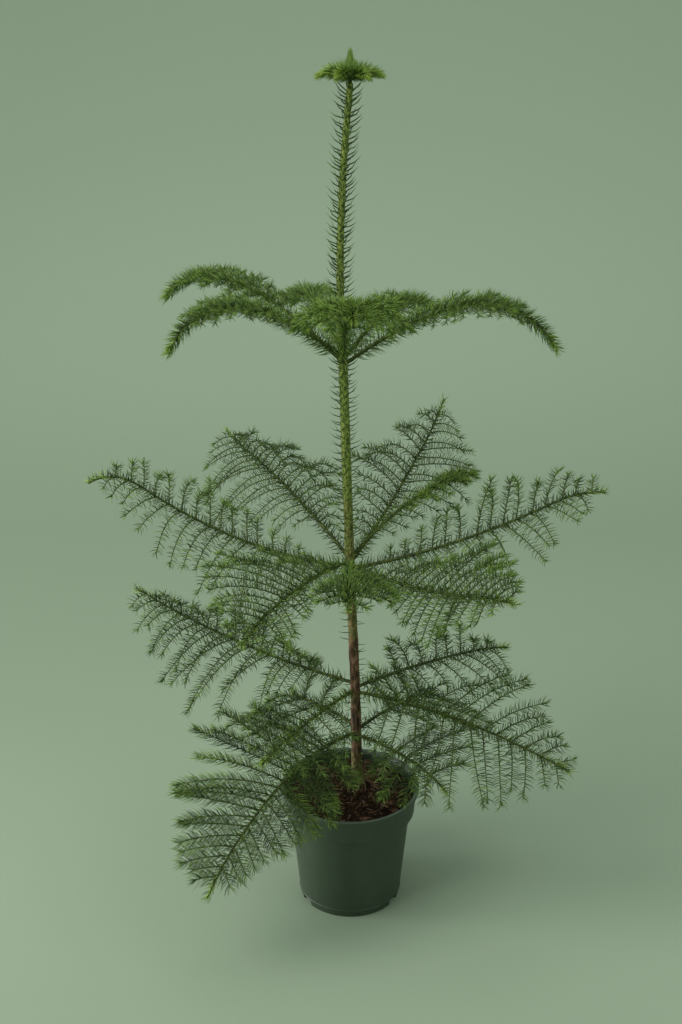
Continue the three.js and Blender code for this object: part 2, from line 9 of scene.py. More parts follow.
import bpy
import numpy as np
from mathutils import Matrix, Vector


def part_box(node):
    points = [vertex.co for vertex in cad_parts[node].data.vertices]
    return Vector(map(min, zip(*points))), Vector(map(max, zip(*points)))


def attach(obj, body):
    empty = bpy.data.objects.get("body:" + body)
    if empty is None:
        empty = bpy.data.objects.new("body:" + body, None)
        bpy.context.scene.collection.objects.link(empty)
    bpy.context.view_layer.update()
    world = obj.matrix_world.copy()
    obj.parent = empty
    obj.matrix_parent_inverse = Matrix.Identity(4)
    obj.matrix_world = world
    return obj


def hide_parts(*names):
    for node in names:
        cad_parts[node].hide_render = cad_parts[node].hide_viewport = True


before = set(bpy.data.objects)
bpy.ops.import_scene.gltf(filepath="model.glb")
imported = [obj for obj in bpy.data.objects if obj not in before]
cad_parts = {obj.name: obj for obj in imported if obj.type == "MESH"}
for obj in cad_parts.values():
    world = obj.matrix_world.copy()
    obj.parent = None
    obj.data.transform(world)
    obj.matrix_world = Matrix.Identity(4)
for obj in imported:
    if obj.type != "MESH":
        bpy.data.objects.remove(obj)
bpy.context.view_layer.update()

# The pot
# A thin-walled nursery pot moulded in dark green plastic, with a flanged lip, a wider collar, a tapering
# wall and a foot ring whose three notches let water out. It stands on its flat underside.
MM = 0.001
RIM_RADIUS, _, POT_HEIGHT = np.array(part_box("pot")[1]) / MM
LIP, LIP_HEIGHT = 2.4, 2.8
COLLAR_FOOT = POT_HEIGHT - 22
COLLAR_FOOT_RADIUS = 53.2
COLLAR_CHAMFER = 2.2
WALL_TOP_RADIUS, WALL_FOOT_RADIUS = 49.3, 42.4
WALL, FLOOR = 1.6, 3.0
FOOT_RADIUS, FOOT_HEIGHT = 41.4, 6.5
FOOT_BEAD = 0.5  # how far the moulded line above the foot ring stands out
CORNER_CUT = 0.55  # how far from a corner its rounding begins
DRAIN_COUNT, DRAIN_WIDTH, DRAIN_HEIGHT, DRAIN_DEPTH = 3, 11.0, 4.6, 6.0
DRAIN_FIRST = 90.0
DRAIN_SILL = 0.1  # between the two rings of points at a notch's inner end
DRAIN_SIDE = 0.0004  # radians from a notch's edge to the columns of points on either side of it
POT_COLUMNS = 144
# A speckle's grain: how fine it is, its detail, its stretch along each axis and its relief's depth in metres.
Grain = namedtuple("Grain", "scale detail stretch depth", defaults=[(1, 1, 1), 0.0])
POT_MOTTLE, POT_SCUFFS, POT_PORES = Grain(60, 5, (1, 1, 0.35)), Grain(190, 6), Grain(1400, 3, depth=0.00012)
POT_GREENS = [(0.25, (0.024, 0.042, 0.023)), (0.5, (0.029, 0.050, 0.028)), (0.75, (0.037, 0.061, 0.035))]
POT_ROUGHNESS = (0.40, 0.62)  # where it is smooth, and where it is scuffed
LIP_HIGHLIGHT_BAND, LIP_HIGHLIGHT_GREEN = 0.5, (0.090, 0.130, 0.094)  # the top of the lip, painted pale as a highlight


def put_in_scene(name, points, faces, finishes, finish_of_face=None):
    """One mesh object at the origin. points is an (n, 3) array in millimetres, faces a list of arrays with
    one row of point numbers a face, and finish_of_face says which finish each face wears."""
    corners = np.concatenate([rows.ravel() for rows in faces]).astype(np.int32)
    counts = np.concatenate([np.full(len(rows), rows.shape[1]) for rows in faces])
    starts = np.concatenate([[0], np.cumsum(counts)[:-1]]).astype(np.int32)
    mesh = bpy.data.meshes.new(name)
    mesh.vertices.add(len(points))
    mesh.vertices.foreach_set("co", (np.asarray(points) * MM).ravel())
    mesh.loops.add(len(corners))
    mesh.loops.foreach_set("vertex_index", corners)
    mesh.polygons.add(len(counts))
    mesh.polygons.foreach_set("loop_start", starts)
    mesh.polygons.foreach_set("use_smooth", np.ones(len(counts), bool))
    for finish in finishes:
        mesh.materials.append(finish)
    if finish_of_face is not None:
        mesh.polygons.foreach_set("material_index", finish_of_face.astype(np.int32))
    mesh.update(calc_edges=True)
    piece = bpy.data.objects.new(name, mesh)
    bpy.context.scene.collection.objects.link(piece)
    return piece


def belongs(piece, slot, *nodes):
    """The piece moves with the plant and stands for those solids, which are hidden. slot is not used."""
    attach(piece, "root")
    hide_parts(*nodes)


def grid_faces(rows, columns):
    """Four-cornered faces between neighbouring rows of points, each row closed into a ring."""
    row, column = np.meshgrid(np.arange(rows - 1), np.arange(columns), indexing="ij")
    after = (column + 1) % columns
    below, above = row * columns, (row + 1) * columns
    return np.stack([below + column, below + after, above + after, above + column], axis=-1).reshape(-1, 4)


def rounded(corners, cut, steps=4):
    """A line with its inner corners rounded: each corner C becomes the curve (1-t)^2 A + 2t(1-t) C + t^2 B,
    where A and B lie on the edges beside it, cut away from C or a third of the edge if that is shorter."""
    before, middle, after = corners[:-2], corners[1:-1], corners[2:]

    def towards(end):
        """The place on the edge to that end where the rounding begins."""
        edge = end - middle
        long = np.linalg.norm(edge, axis=1, keepdims=True)
        return middle + edge * np.minimum(cut / long, 1 / 3)

    t = np.linspace(0, 1, steps)[None, :, None]
    first, last = towards(before)[:, None], towards(after)[:, None]
    curve = (1 - t) ** 2 * first + 2 * t * (1 - t) * middle[:, None] + t**2 * last
    return np.concatenate([corners[:1], curve.reshape(-1, 2), corners[-1:]])


def turns(count):
    """That many turns, evenly spaced round a circle, in radians."""
    return 2 * np.pi * np.arange(count) / count


def spun(profile, angles):
    """Rows of points: (r cos a, r sin a, z) for each (r, z) of the profile and each angle."""
    rings = profile[:, None, :1] * np.stack([np.cos(angles), np.sin(angles)], axis=-1)
    levels = np.broadcast_to(profile[:, None, 1:], rings.shape[:2] + (1,))
    return np.concatenate([rings, levels], axis=-1).reshape(-1, 3)


def turned(profile, angles):
    """A closed round surface: a spun profile that starts and ends on the axis, where one point closes it."""
    poles = np.array([[0, 0, profile[0, 1]], [0, 0, profile[-1, 1]]])
    points = np.concatenate([spun(profile[1:-1], angles), poles])
    columns, rows = len(angles), len(profile) - 2
    column = np.arange(columns)
    after = (column + 1) % columns
    start, end = np.full(columns, rows * columns), np.full(columns, rows * columns + 1)
    last = (rows - 1) * columns
    fans = [np.stack([start, after, column], axis=-1), np.stack([end, last + column, last + after], axis=-1)]
    return points, [grid_faces(rows, columns), np.concatenate(fans)]


def new_finish(name, roughness, shine, colour=(0.8, 0.8, 0.8)):
    """A finish of one plain colour, with its node tree and its shader."""
    finish = bpy.data.materials.new(name)
    finish.use_nodes = True
    shader = finish.node_tree.nodes["Principled BSDF"]
    shader.inputs["Roughness"].default_value = roughness
    shader.inputs["Specular IOR Level"].default_value = shine
    shader.inputs["Base Color"].default_value = (*colour, 1)
    return finish, finish.node_tree, shader


def add_node(tree, kind, inputs, operation=None):
    """A node's outputs. Each input is set to a number or a colour, or linked to another node's output."""
    node = tree.nodes.new(f"ShaderNode{kind}")
    if kind == "Mix":
        node.data_type = "RGBA"
    if operation:
        node.operation = operation
    for socket, value in inputs.items():
        if isinstance(value, bpy.types.NodeSocket):
            tree.links.new(value, node.inputs[socket])
        else:
            node.inputs[socket].default_value = value
    return node.outputs


def speckle(tree, grain):
    """A noise from 0 to 1 over the piece's own place in metres."""
    place = add_node(tree, "TexCoord", {})["Object"]
    stretched = add_node(tree, "Mapping", {"Vector": place, "Scale": grain.stretch})["Vector"]
    noise = add_node(tree, "TexNoise", {"Vector": stretched, "Scale": grain.scale, "Detail": grain.detail})
    return noise["Fac"]


def height_on(tree):
    """The height of each place on the piece, in metres."""
    return add_node(tree, "SeparateXYZ", {"Vector": add_node(tree, "TexCoord", {})["Object"]})["Z"]


def ranged(tree, value, start, end, low=0.0, high=1.0):
    """How far a value has come from start to end, as a number from low to high."""
    limits = {"From Min": start, "From Max": end, "To Min": low, "To Max": high}
    return add_node(tree, "MapRange", {"Value": value, **limits})["Result"]


def tinted(tree, value, stops):
    """A colour that runs through stops, pairs of a value and a colour."""
    ramp = tree.nodes.new("ShaderNodeValToRGB")
    marks = ramp.color_ramp.elements
    while len(marks) < len(stops):
        marks.new(0.5)
    for mark, (position, colour) in zip(marks, stops):
        mark.position = position
        mark.color = (*colour, 1)
    tree.links.new(value, ramp.inputs["Fac"])
    return ramp.outputs["Color"]


def embossed(tree, shader, grain):
    """Small relief on the finish, which follows a grain."""
    relief = add_node(tree, "Bump", {"Distance": grain.depth, "Height": speckle(tree, grain)})
    tree.links.new(relief["Normal"], shader.inputs["Normal"])


pot_inside = [
    (RIM_RADIUS - LIP - WALL, POT_HEIGHT - LIP_HEIGHT),
    (COLLAR_FOOT_RADIUS - WALL, COLLAR_FOOT),
    (WALL_TOP_RADIUS - WALL, COLLAR_FOOT - COLLAR_CHAMFER),
    (WALL_FOOT_RADIUS - WALL, FOOT_HEIGHT),
    (FOOT_RADIUS - WALL, FLOOR),
]
pot_outside = [
    (FOOT_RADIUS, 0),
    (FOOT_RADIUS, FOOT_HEIGHT - 2 * FOOT_BEAD),
    (WALL_FOOT_RADIUS + FOOT_BEAD, FOOT_HEIGHT - FOOT_BEAD),
    (WALL_FOOT_RADIUS, FOOT_HEIGHT + FOOT_BEAD),
    (WALL_TOP_RADIUS, COLLAR_FOOT - COLLAR_CHAMFER),
    (COLLAR_FOOT_RADIUS, COLLAR_FOOT),
    (RIM_RADIUS - LIP, POT_HEIGHT - LIP_HEIGHT),
    (RIM_RADIUS, POT_HEIGHT - LIP_HEIGHT),
    (RIM_RADIUS, POT_HEIGHT),
    (RIM_RADIUS - LIP, POT_HEIGHT),
]
notch_end = FOOT_RADIUS - DRAIN_DEPTH
pot_underside = [(0, 0), (notch_end, 0), (notch_end + DRAIN_SILL, 0)]
pot_profile = rounded(np.array([*pot_underside, *pot_outside, *pot_inside, (0, FLOOR)]), CORNER_CUT)
drain_half = np.arcsin(DRAIN_WIDTH / 2 / FOOT_RADIUS)
drain_middle = np.radians(DRAIN_FIRST + 360 / DRAIN_COUNT * np.arange(DRAIN_COUNT))
drain_edges = np.add.outer(drain_middle, [-drain_half, drain_half]).ravel()
pot_angles = np.concatenate([turns(POT_COLUMNS), drain_edges - DRAIN_SIDE, drain_edges + DRAIN_SIDE])
pot_points, pot_faces = turned(pot_profile, np.sort(pot_angles % (2 * np.pi)))
point_angle = np.arctan2(pot_points[:, 1], pot_points[:, 0])
from_drain = (np.subtract.outer(point_angle, drain_middle) + np.pi) % (2 * np.pi) - np.pi
in_drain = (np.abs(from_drain).min(axis=1) < drain_half) & (pot_points[:, 2] < DRAIN_HEIGHT)
in_drain &= np.hypot(pot_points[:, 0], pot_points[:, 1]) > notch_end + DRAIN_SILL / 2
pot_points[in_drain, 2] = DRAIN_HEIGHT

pot_plastic, pot_tree, pot_shader = new_finish("green_pot_plastic", roughness=0.42, shine=0.6)
# The top of the lip is mixed to a paler green: a painted highlight where light falls on it.
pot_colour = {
    "Factor": ranged(pot_tree, height_on(pot_tree), (POT_HEIGHT - LIP_HIGHLIGHT_BAND) * MM, POT_HEIGHT * MM),
    "A": tinted(pot_tree, speckle(pot_tree, POT_MOTTLE), POT_GREENS),
    "B": (*LIP_HIGHLIGHT_GREEN, 1),
}
pot_tree.links.new(add_node(pot_tree, "Mix", pot_colour)["Result"], pot_shader.inputs["Base Color"])
pot_scuff = ranged(pot_tree, speckle(pot_tree, POT_SCUFFS), 0, 1, *POT_ROUGHNESS)
pot_tree.links.new(pot_scuff, pot_shader.inputs["Roughness"])
embossed(pot_tree, pot_shader, POT_PORES)
belongs(put_in_scene("nursery_pot", pot_points, pot_faces, [pot_plastic]), "pot", "pot")

# The soil
# A red-brown mix of peat and fine bark that fills the pot to just below its lip and mounds up round the
# trunk. Chips of bark, pale dead needles and a few white grains lie on it.
SOIL_BELOW_RIM, SOIL_MOUND, MOUND_RADIUS = 9.0, 6.0, 22.0
HALFWAY_DOWN = 0.6  # the part of the mound's height that is left half-way to the wall
SOIL_EDGE = POT_HEIGHT - SOIL_BELOW_RIM
SOIL_TOP = SOIL_EDGE + SOIL_MOUND
SOIL_PLAY = 0.2
COLLAR_HEIGHTS, COLLAR_RADII = [COLLAR_FOOT, POT_HEIGHT - LIP_HEIGHT], [COLLAR_FOOT_RADIUS, RIM_RADIUS - LIP]
SOIL_RADIUS = np.interp(SOIL_EDGE, COLLAR_HEIGHTS, COLLAR_RADII) - (WALL + SOIL_PLAY)
SOIL_UNDERSIDE, SOIL_CHAMFER = COLLAR_FOOT + 2, 1.2
SOIL_ROWS, SOIL_COLUMNS = 84, 220
SOIL_LUMPS = [(11, 1.5), (4.5, 1.1), (1.9, 0.75)]  # width and height of its lumps
LUMP_SQUARES = 64  # how many squares of lumps there are before they repeat
SOIL_SEED = 41
CHIPS = {"count": 1500, "margin": 2, "above": 0.2, "steepest": 0.4, "evenness": 3.0, "spread": (0.5, 1.2)}
CHIP_SIZE = np.array([3.4, 1.6, 0.8])
CHIP_TILT, CHIP_CORNERS, CHIP_JITTER = 0.3, (0.6, 1.15), np.array([0.22, 0.22, 0.088])
STONE_CORNERS = 6
STONE_UPPER = [[0, 1, 2], [1, 3, 2], [3, 4, 2], [4, 0, 2]]
STONE_LOWER = [[1, 0, 5], [3, 1, 5], [4, 3, 5], [0, 4, 5]]
GRIT = {"count": 9, "ring": (0.35, 0.97), "above": 0.4, "steepest": 0.8, "size": (0.5, 1.1)}
DEAD = {"count": 260, "margin": 5, "above": 0.5, "steepest": 0.3, "turned": 0.9, "middle": 0.01}
DEAD_NEEDLE = {"length": (5, 13), "width": (0.5, 0.9), "lean": (20, 50), "curl": (-50, 10)}
NEEDLE_TAPER = {"foot": 0.9, "middle": 0.85}  # the parts of a needle's width that it has there
NEEDLE_POINTS, NEEDLE_FOOT = 7, 3  # in a needle, and in its foot
NEEDLE_SIDES = np.array([[0, 1, 4, 3], [1, 2, 5, 4], [2, 0, 3, 5]])
NEEDLE_ENDS = np.array([[3, 4, 6], [4, 5, 6], [5, 3, 6], [0, 2, 1]])
SOIL_BROWNS = [(0.34, (0.006, 0.003, 0.002)), (0.52, (0.026, 0.013, 0.006)), (0.70, (0.10, 0.050, 0.022))]
CHIP_BROWNS = [(0.30, (0.009, 0.005, 0.003)), (0.5, (0.055, 0.026, 0.012)), (0.70, (0.26, 0.135, 0.068))]
DEAD_TANS = [(0.3, (0.17, 0.10, 0.055)), (0.7, (0.36, 0.25, 0.16))]
GRIT_WHITE = (0.62, 0.60, 0.55)
PEAT, CRUMBS = Grain(420, 8), Grain(1500, 6, depth=0.0006)
CHIP_PATCHES, CHIP_FIBRES = Grain(130, 5), Grain(2400, 4, (1, 1, 0.3), 0.0002)
DEAD_PATCHES = Grain(90, 3)
UP = np.array([0.0, 0.0, 1.0])
FRONT = np.array([0.0, -1.0, 0.0])


def unit(vectors):
    """The same directions, one long."""
    return vectors / np.maximum(np.linalg.norm(vectors, axis=-1, keepdims=True), 1e-12)


def level_at(turn):
    """The level direction at each turn, in radians."""
    return np.stack([np.cos(turn), np.sin(turn), np.zeros_like(turn)], axis=-1)


def lumps(x, y, width, seed):
    """Smooth random heights from -1 to 1: random values at corners of squares, blended by 3f^2 - 2f^3."""
    table = np.random.default_rng(seed).uniform(-1, 1, (LUMP_SQUARES, LUMP_SQUARES))
    column, row = np.floor(x / width).astype(int), np.floor(y / width).astype(int)
    across, along = x / width - column, y / width - row
    across, along = across**2 * (3 - 2 * across), along**2 * (3 - 2 * along)

    def corner(i, j):
        """The value at one corner of each square."""
        return table[(column + i) % LUMP_SQUARES, (row + j) % LUMP_SQUARES]

    near = corner(0, 0) * (1 - across) + corner(1, 0) * across
    far = corner(0, 1) * (1 - across) + corner(1, 1) * across
    return near * (1 - along) + far * along


def soil_height(x, y):
    """The mound, level in the middle and falling to the wall, with three sizes of lumps on it."""
    halfway = (SOIL_RADIUS + MOUND_RADIUS) / 2
    fall = [SOIL_TOP, SOIL_TOP, SOIL_EDGE + HALFWAY_DOWN * SOIL_MOUND, SOIL_EDGE]
    level = np.interp(np.hypot(x, y), [0, MOUND_RADIUS, halfway, SOIL_RADIUS], fall)
    for order, (width, height) in enumerate(SOIL_LUMPS):
        level = level + height * lumps(x, y, width, SOIL_SEED + order)
    return level


def on_soil(radius, turn, above, middle=(0, 0)):
    """Places over the soil, at that distance and turn from a middle and that far above the soil."""
    x, y = middle[0] + radius * np.cos(turn), middle[1] + radius * np.sin(turn)
    return np.stack([x, y, soil_height(x, y) + above], axis=-1)


def any_turn(rng, *shape):
    """Turns at random all round, in radians."""
    return rng.uniform(0, 2 * np.pi, shape)


def scattered_directions(rng, count, steepest):
    """Directions at random all round, none steeper than that sine."""
    turn = any_turn(rng, count)
    rise = rng.uniform(-steepest, steepest, count)
    return level_at(turn) * np.sqrt(1 - rise**2)[:, None] + np.multiply.outer(rise, UP)


def chip_mesh(places, along, size, rng):
    """Splinters: eight-sided stones with six uneven corners, of that size along, across and through."""
    count = len(places)
    across = unit(np.cross(along, UP + CHIP_TILT * rng.normal(size=(count, 3))))
    through = np.cross(along, across)
    axes = np.stack([along, across, through], axis=1) * size[:, :, None]
    corners = np.concatenate([axes, -axes], axis=1) * rng.uniform(*CHIP_CORNERS, (count, STONE_CORNERS, 1))
    corners += CHIP_JITTER * size[:, None, :1] * rng.normal(size=(count, STONE_CORNERS, 3))
    first = STONE_CORNERS * np.arange(count)[:, None, None]
    faces = (np.array(STONE_UPPER + STONE_LOWER) + first).reshape(-1, 3)
    return (places[:, None] + corners).reshape(-1, 3), [faces]


def needle_points(root, along, outward, length, width, lean, curl, lift=0.0):
    """Seven points a needle: a three-cornered foot, a three-cornered middle and a tip. It leaves its twig at
    the angle lean and has bent to the angle curl, and up by lift, at its tip. Its place at t from 0 to 1 is
    root + length ((t - t^2/2) first + t^2/2 last)."""
    lean, curl = np.radians(lean)[:, None], np.radians(curl)[:, None]
    lifted = np.multiply.outer(lift * np.ones(len(root)), UP)
    first = along * np.cos(lean) + outward * np.sin(lean)
    last = unit(along * np.cos(curl) + outward * np.sin(curl) + lifted)
    crosswise = unit(np.cross(along, outward))
    keel = np.cross(first, crosswise)
    turn = np.radians([90, 210, 330])
    ring = crosswise[:, None] * np.cos(turn)[:, None] + keel[:, None] * np.sin(turn)[:, None]
    half_ring = np.asarray(width)[:, None, None] / 2 * ring

    def place(t):
        """The place at t along each needle."""
        bent = (t - t**2 / 2) * first + t**2 / 2 * last
        return (root + np.asarray(length)[:, None] * bent)[:, None]

    foot = place(0) + NEEDLE_TAPER["foot"] * half_ring
    middle = place(0.5) + NEEDLE_TAPER["middle"] * half_ring
    return np.concatenate([foot, middle, place(1)], axis=1)


def needle_faces(count):
    """The faces of that many needles: three long sides, three that close on the tip, and the foot."""
    first = NEEDLE_POINTS * np.arange(count)[:, None, None]
    return [(NEEDLE_SIDES[None] + first).reshape(-1, 4), (NEEDLE_ENDS[None] + first).reshape(-1, 3)]


def speckled_finish(name, grain, stops, relief=None, *, roughness, shine):
    """A finish whose colour runs through stops over one grain, with the relief of another, if any."""
    finish, tree, shader = new_finish(name, roughness, shine)
    tree.links.new(tinted(tree, speckle(tree, grain), stops), shader.inputs["Base Color"])
    if relief:
        embossed(tree, shader, relief)
    return finish


soil_top = np.stack([np.linspace(0, SOIL_RADIUS, SOIL_ROWS), np.full(SOIL_ROWS, SOIL_TOP)], axis=-1)
soil_bottom = [(SOIL_RADIUS - SOIL_CHAMFER, SOIL_UNDERSIDE), (0, SOIL_UNDERSIDE)]
soil_points, soil_faces = turned(np.concatenate([soil_top, soil_bottom])[::-1], turns(SOIL_COLUMNS))
on_top = soil_points[:, 2] > SOIL_UNDERSIDE + 1
soil_points[on_top, 2] = soil_height(soil_points[on_top, 0], soil_points[on_top, 1])
soil_mix = speckled_finish("peat_and_bark_soil", PEAT, SOIL_BROWNS, CRUMBS, roughness=0.95, shine=0.2)
belongs(put_in_scene("potting_soil", soil_points, soil_faces, [soil_mix]), "soil", "soil")

soil_rng = np.random.default_rng(SOIL_SEED)
chip_radius = (SOIL_RADIUS - CHIPS["margin"]) * np.sqrt(soil_rng.uniform(0, 1, CHIPS["count"]))
chip_places = on_soil(chip_radius, any_turn(soil_rng, CHIPS["count"]), CHIPS["above"])
chip_size = CHIP_SIZE / 2 * soil_rng.gamma(CHIPS["evenness"], 1 / CHIPS["evenness"], (CHIPS["count"], 1))
chip_size = chip_size * soil_rng.uniform(*CHIPS["spread"], (CHIPS["count"], 3))
chip_along = scattered_directions(soil_rng, CHIPS["count"], CHIPS["steepest"])
chip_shape = chip_mesh(chip_places, chip_along, chip_size, soil_rng)
chip_bark = speckled_finish("bark_chips", CHIP_PATCHES, CHIP_BROWNS, CHIP_FIBRES, roughness=0.9, shine=0.25)
belongs(put_in_scene("bark_chips", *chip_shape, [chip_bark]), "soil")

grit_turn = any_turn(soil_rng, GRIT["count"])
grit_places = on_soil(SOIL_RADIUS * soil_rng.uniform(*GRIT["ring"], GRIT["count"]), grit_turn, GRIT["above"])
grit_size = soil_rng.uniform(*GRIT["size"], (GRIT["count"], 3))
grit_along = scattered_directions(soil_rng, GRIT["count"], GRIT["steepest"])
grit_shape = chip_mesh(grit_places, grit_along, grit_size, soil_rng)
grit_white, _, _ = new_finish("white_grit", roughness=0.9, shine=0.3, colour=GRIT_WHITE)
belongs(put_in_scene("white_grit", *grit_shape, [grit_white]), "soil")

dead_radius = (SOIL_RADIUS - DEAD["margin"]) * np.sqrt(soil_rng.uniform(DEAD["middle"], 1, DEAD["count"]))
dead_roots = on_soil(dead_radius, any_turn(soil_rng, DEAD["count"]), DEAD["above"])
dead_along = scattered_directions(soil_rng, DEAD["count"], DEAD["steepest"])
dead_out = unit(np.cross(dead_along, scattered_directions(soil_rng, DEAD["count"], DEAD["turned"])))
dead_sizes = [soil_rng.uniform(*ends, DEAD["count"]) for ends in DEAD_NEEDLE.values()]
dead_points = needle_points(dead_roots, dead_along, dead_out, *dead_sizes)
dead_brown = speckled_finish("dead_needles", DEAD_PATCHES, DEAD_TANS, roughness=0.85, shine=0.3)
dead = put_in_scene("dead_needles", dead_points.reshape(-1, 3), needle_faces(DEAD["count"]), [dead_brown])
belongs(dead, "soil")

# The trunk
# One slender stem that leans a little and bends back at the top. Its thin bark is red-brown with dark and
# green patches near the soil and olive green above. The feet of its needles run down it as low cushions, and
# pale roots run out from its foot over the soil.
TRUNK_FOOT = SOIL_TOP + 0.3
TRUNK_TIP = 658.0
TRUNK_Z = np.array([TRUNK_FOOT, 190, 300, 463, 530, 600, TRUNK_TIP])
TRUNK_X = np.array([5.9, 3.7, -0.6, -6.2, -8.2, -6.1, -1.4])
TRUNK_Y = np.array([10.0, 6, 3, 0, 0, 0, 0])
TRUNK_RADIUS = np.array([4.6, 4.0, 3.6, 3.3, 2.5, 2.4, 2.2])
ROOT_FLARE = {"width": 1.8, "height": 6}
TRUNK_ROWS, TRUNK_COLUMNS = 620, 40
BURIED = 4.0  # how far the visible trunk goes on into the soil
BARK_FURROWS = {"width": 1.5, "height": 11, "depth": 0.30, "until": 330, "fade": 90, "seed": 3}
CUSHION = {"around": 10, "rise": 5.4, "depth": 0.34, "sunk": 0.3, "worn": 0.7}
MOSS = {"until": 34, "share": 0.75}  # how high the green at the foot goes, and how much of the bark it covers
GREEN_ABOVE = {"start": 0.32, "full": 0.48, "ripple": 0.22}  # metres over which brown bark turns to olive
BARK_FIBRE, BARK_SCALES = Grain(420, 8, (1, 1, 0.3), 0.0006), Grain(800, 6, (1, 1, 0.5))
BARK_PATCHES = Grain(70, 4, (1, 1, 0.5))
BARK_BROWNS = [(0.36, (0.020, 0.014, 0.008)), (0.5, (0.110, 0.058, 0.031)), (0.64, (0.25, 0.142, 0.084))]
BARK_OLIVES = [(0.38, (0.048, 0.074, 0.014)), (0.5, (0.138, 0.198, 0.037)), (0.62, (0.28, 0.335, 0.078))]
ROOTS = {"count": 26, "rows": 14, "sides": 5, "wander": 0.5, "start": -1.5, "above": 0.4}
ROOT_LENGTH, ROOT_CLIMB, ROOT_RADIUS = (7, 21), (1, 8), (0.35, 1.1)
ROOT_TAPER = 0.3  # the part of a root's radius that is left at its end
ROOT_SEED = 50
STEEP = 0.9  # sine from which a stem's sides are found from the front and not from above


def smooth_line(z, known_z, known):
    """A smooth line through known values: on each stretch a cubic whose slope at a point is that of the
    chord between its two neighbours."""
    before = np.concatenate([[0], np.arange(len(known_z) - 1)])
    after = np.minimum(np.arange(len(known_z)) + 1, len(known_z) - 1)
    slope = (known[after] - known[before]) / (known_z[after] - known_z[before])
    i = np.clip(np.searchsorted(known_z, z, side="left") - 1, 0, len(known_z) - 2)
    span = known_z[i + 1] - known_z[i]
    t = (z - known_z[i]) / span
    ends = known[i] * (2 * t**3 - 3 * t**2 + 1) + known[i + 1] * (3 * t**2 - 2 * t**3)
    return ends + span * (slope[i] * (t**3 - 2 * t**2 + t) + slope[i + 1] * (t**3 - t**2))


def trunk_at(z):
    """The trunk's middle at each height, as an (n, 3) array."""
    z = np.atleast_1d(np.asarray(z, float))
    return np.stack([smooth_line(z, TRUNK_Z, TRUNK_X), smooth_line(z, TRUNK_Z, TRUNK_Y), z], axis=-1)


def trunk_radius(z):
    """The trunk's radius with a flare that falls off by exp(-height / ROOT_FLARE height) over the foot."""
    z = np.asarray(z, float)
    flare = ROOT_FLARE["width"] * np.exp((TRUNK_FOOT - z) / ROOT_FLARE["height"])
    return smooth_line(z, TRUNK_Z, TRUNK_RADIUS) + flare


def eased(t, first, last, power=1):
    """From a first value to a last one: first + (last - first) t^power."""
    return first + (last - first) * t**power


def tube(paths, radius, sides):
    """Closed tubes: rings of that many points round each path of an (n, m, 3) array, radius wide, which may
    differ from point to point, with a flat face at each end."""
    count, stations = paths.shape[:2]
    along = unit(np.gradient(paths, axis=1))
    steep = np.abs(along[..., 2:]) > STEEP
    side = unit(np.cross(along, np.where(steep, FRONT, UP)))
    above = np.cross(along, side)
    turn = turns(sides)
    ring = side[:, :, None] * np.cos(turn)[:, None] + above[:, :, None] * np.sin(turn)[:, None]
    points = paths[:, :, None] + ring * np.broadcast_to(radius, (count, stations, sides))[..., None]
    first = stations * sides * np.arange(count)
    walls = (grid_faces(stations, sides)[None] + first[:, None, None]).reshape(-1, 4)
    feet = first[:, None] + np.arange(sides)[::-1]
    tips = first[:, None] + (stations - 1) * sides + np.arange(sides)
    return points.reshape(-1, 3), [walls, np.concatenate([feet, tips])]


def cushions(turn, distance, around, rise):
    """Low rounded diamonds from 0 to 1, wound round a stem: where two families of spiral ridges cross."""
    steps = 2 * np.pi * distance / rise
    crossing = np.cos(around * turn / 2 + steps / 2) * np.cos((around + 3) * turn / 2 - steps / 2)
    return np.clip(crossing, 0, 1)


trunk_z = np.linspace(TRUNK_FOOT - BURIED, TRUNK_TIP, TRUNK_ROWS)
around, upward = np.meshgrid(turns(TRUNK_COLUMNS), trunk_z)
plain_radius = trunk_radius(np.maximum(upward, TRUNK_FOOT))
old_bark = np.clip((BARK_FURROWS["until"] - upward) / BARK_FURROWS["fade"], 0, 1)
mirrored_turn = np.minimum(around, 2 * np.pi - around)  # the front mirrors the back, without a seam
pressed = upward / BARK_FURROWS["height"] * BARK_FURROWS["width"]
furrows = lumps(mirrored_turn * plain_radius, pressed, BARK_FURROWS["width"], BARK_FURROWS["seed"])
knobs = cushions(around, upward, CUSHION["around"], CUSHION["rise"]) - CUSHION["sunk"]
relief = old_bark * BARK_FURROWS["depth"] * furrows
relief = relief + (1 - CUSHION["worn"] * old_bark) * CUSHION["depth"] * knobs
trunk_shape = tube(trunk_at(trunk_z)[None], (plain_radius + relief)[None], TRUNK_COLUMNS)

bark, bark_tree, bark_shader = new_finish("trunk_bark", roughness=0.8, shine=0.3)
bark_height = height_on(bark_tree)
bark_patch = speckle(bark_tree, BARK_PATCHES)
rippled = {0: bark_patch, 1: GREEN_ABOVE["ripple"], 2: bark_height}
rippled_height = add_node(bark_tree, "Math", rippled, "MULTIPLY_ADD")["Value"]
olive = ranged(bark_tree, rippled_height, GREEN_ABOVE["start"], GREEN_ABOVE["full"])
mossy = ranged(bark_tree, bark_height, (TRUNK_FOOT + MOSS["until"]) * MM, TRUNK_FOOT * MM, 0, MOSS["share"])
bark_colour = {
    "Factor": add_node(bark_tree, "Math", {0: olive, 1: mossy}, "MAXIMUM")["Value"],
    "A": tinted(bark_tree, speckle(bark_tree, BARK_FIBRE), BARK_BROWNS),
    "B": tinted(bark_tree, speckle(bark_tree, BARK_SCALES), BARK_OLIVES),
}
bark_tree.links.new(add_node(bark_tree, "Mix", bark_colour)["Result"], bark_shader.inputs["Base Color"])
embossed(bark_tree, bark_shader, BARK_FIBRE)
belongs(put_in_scene("trunk_with_bark", *trunk_shape, [bark]), "bark", "trunk")

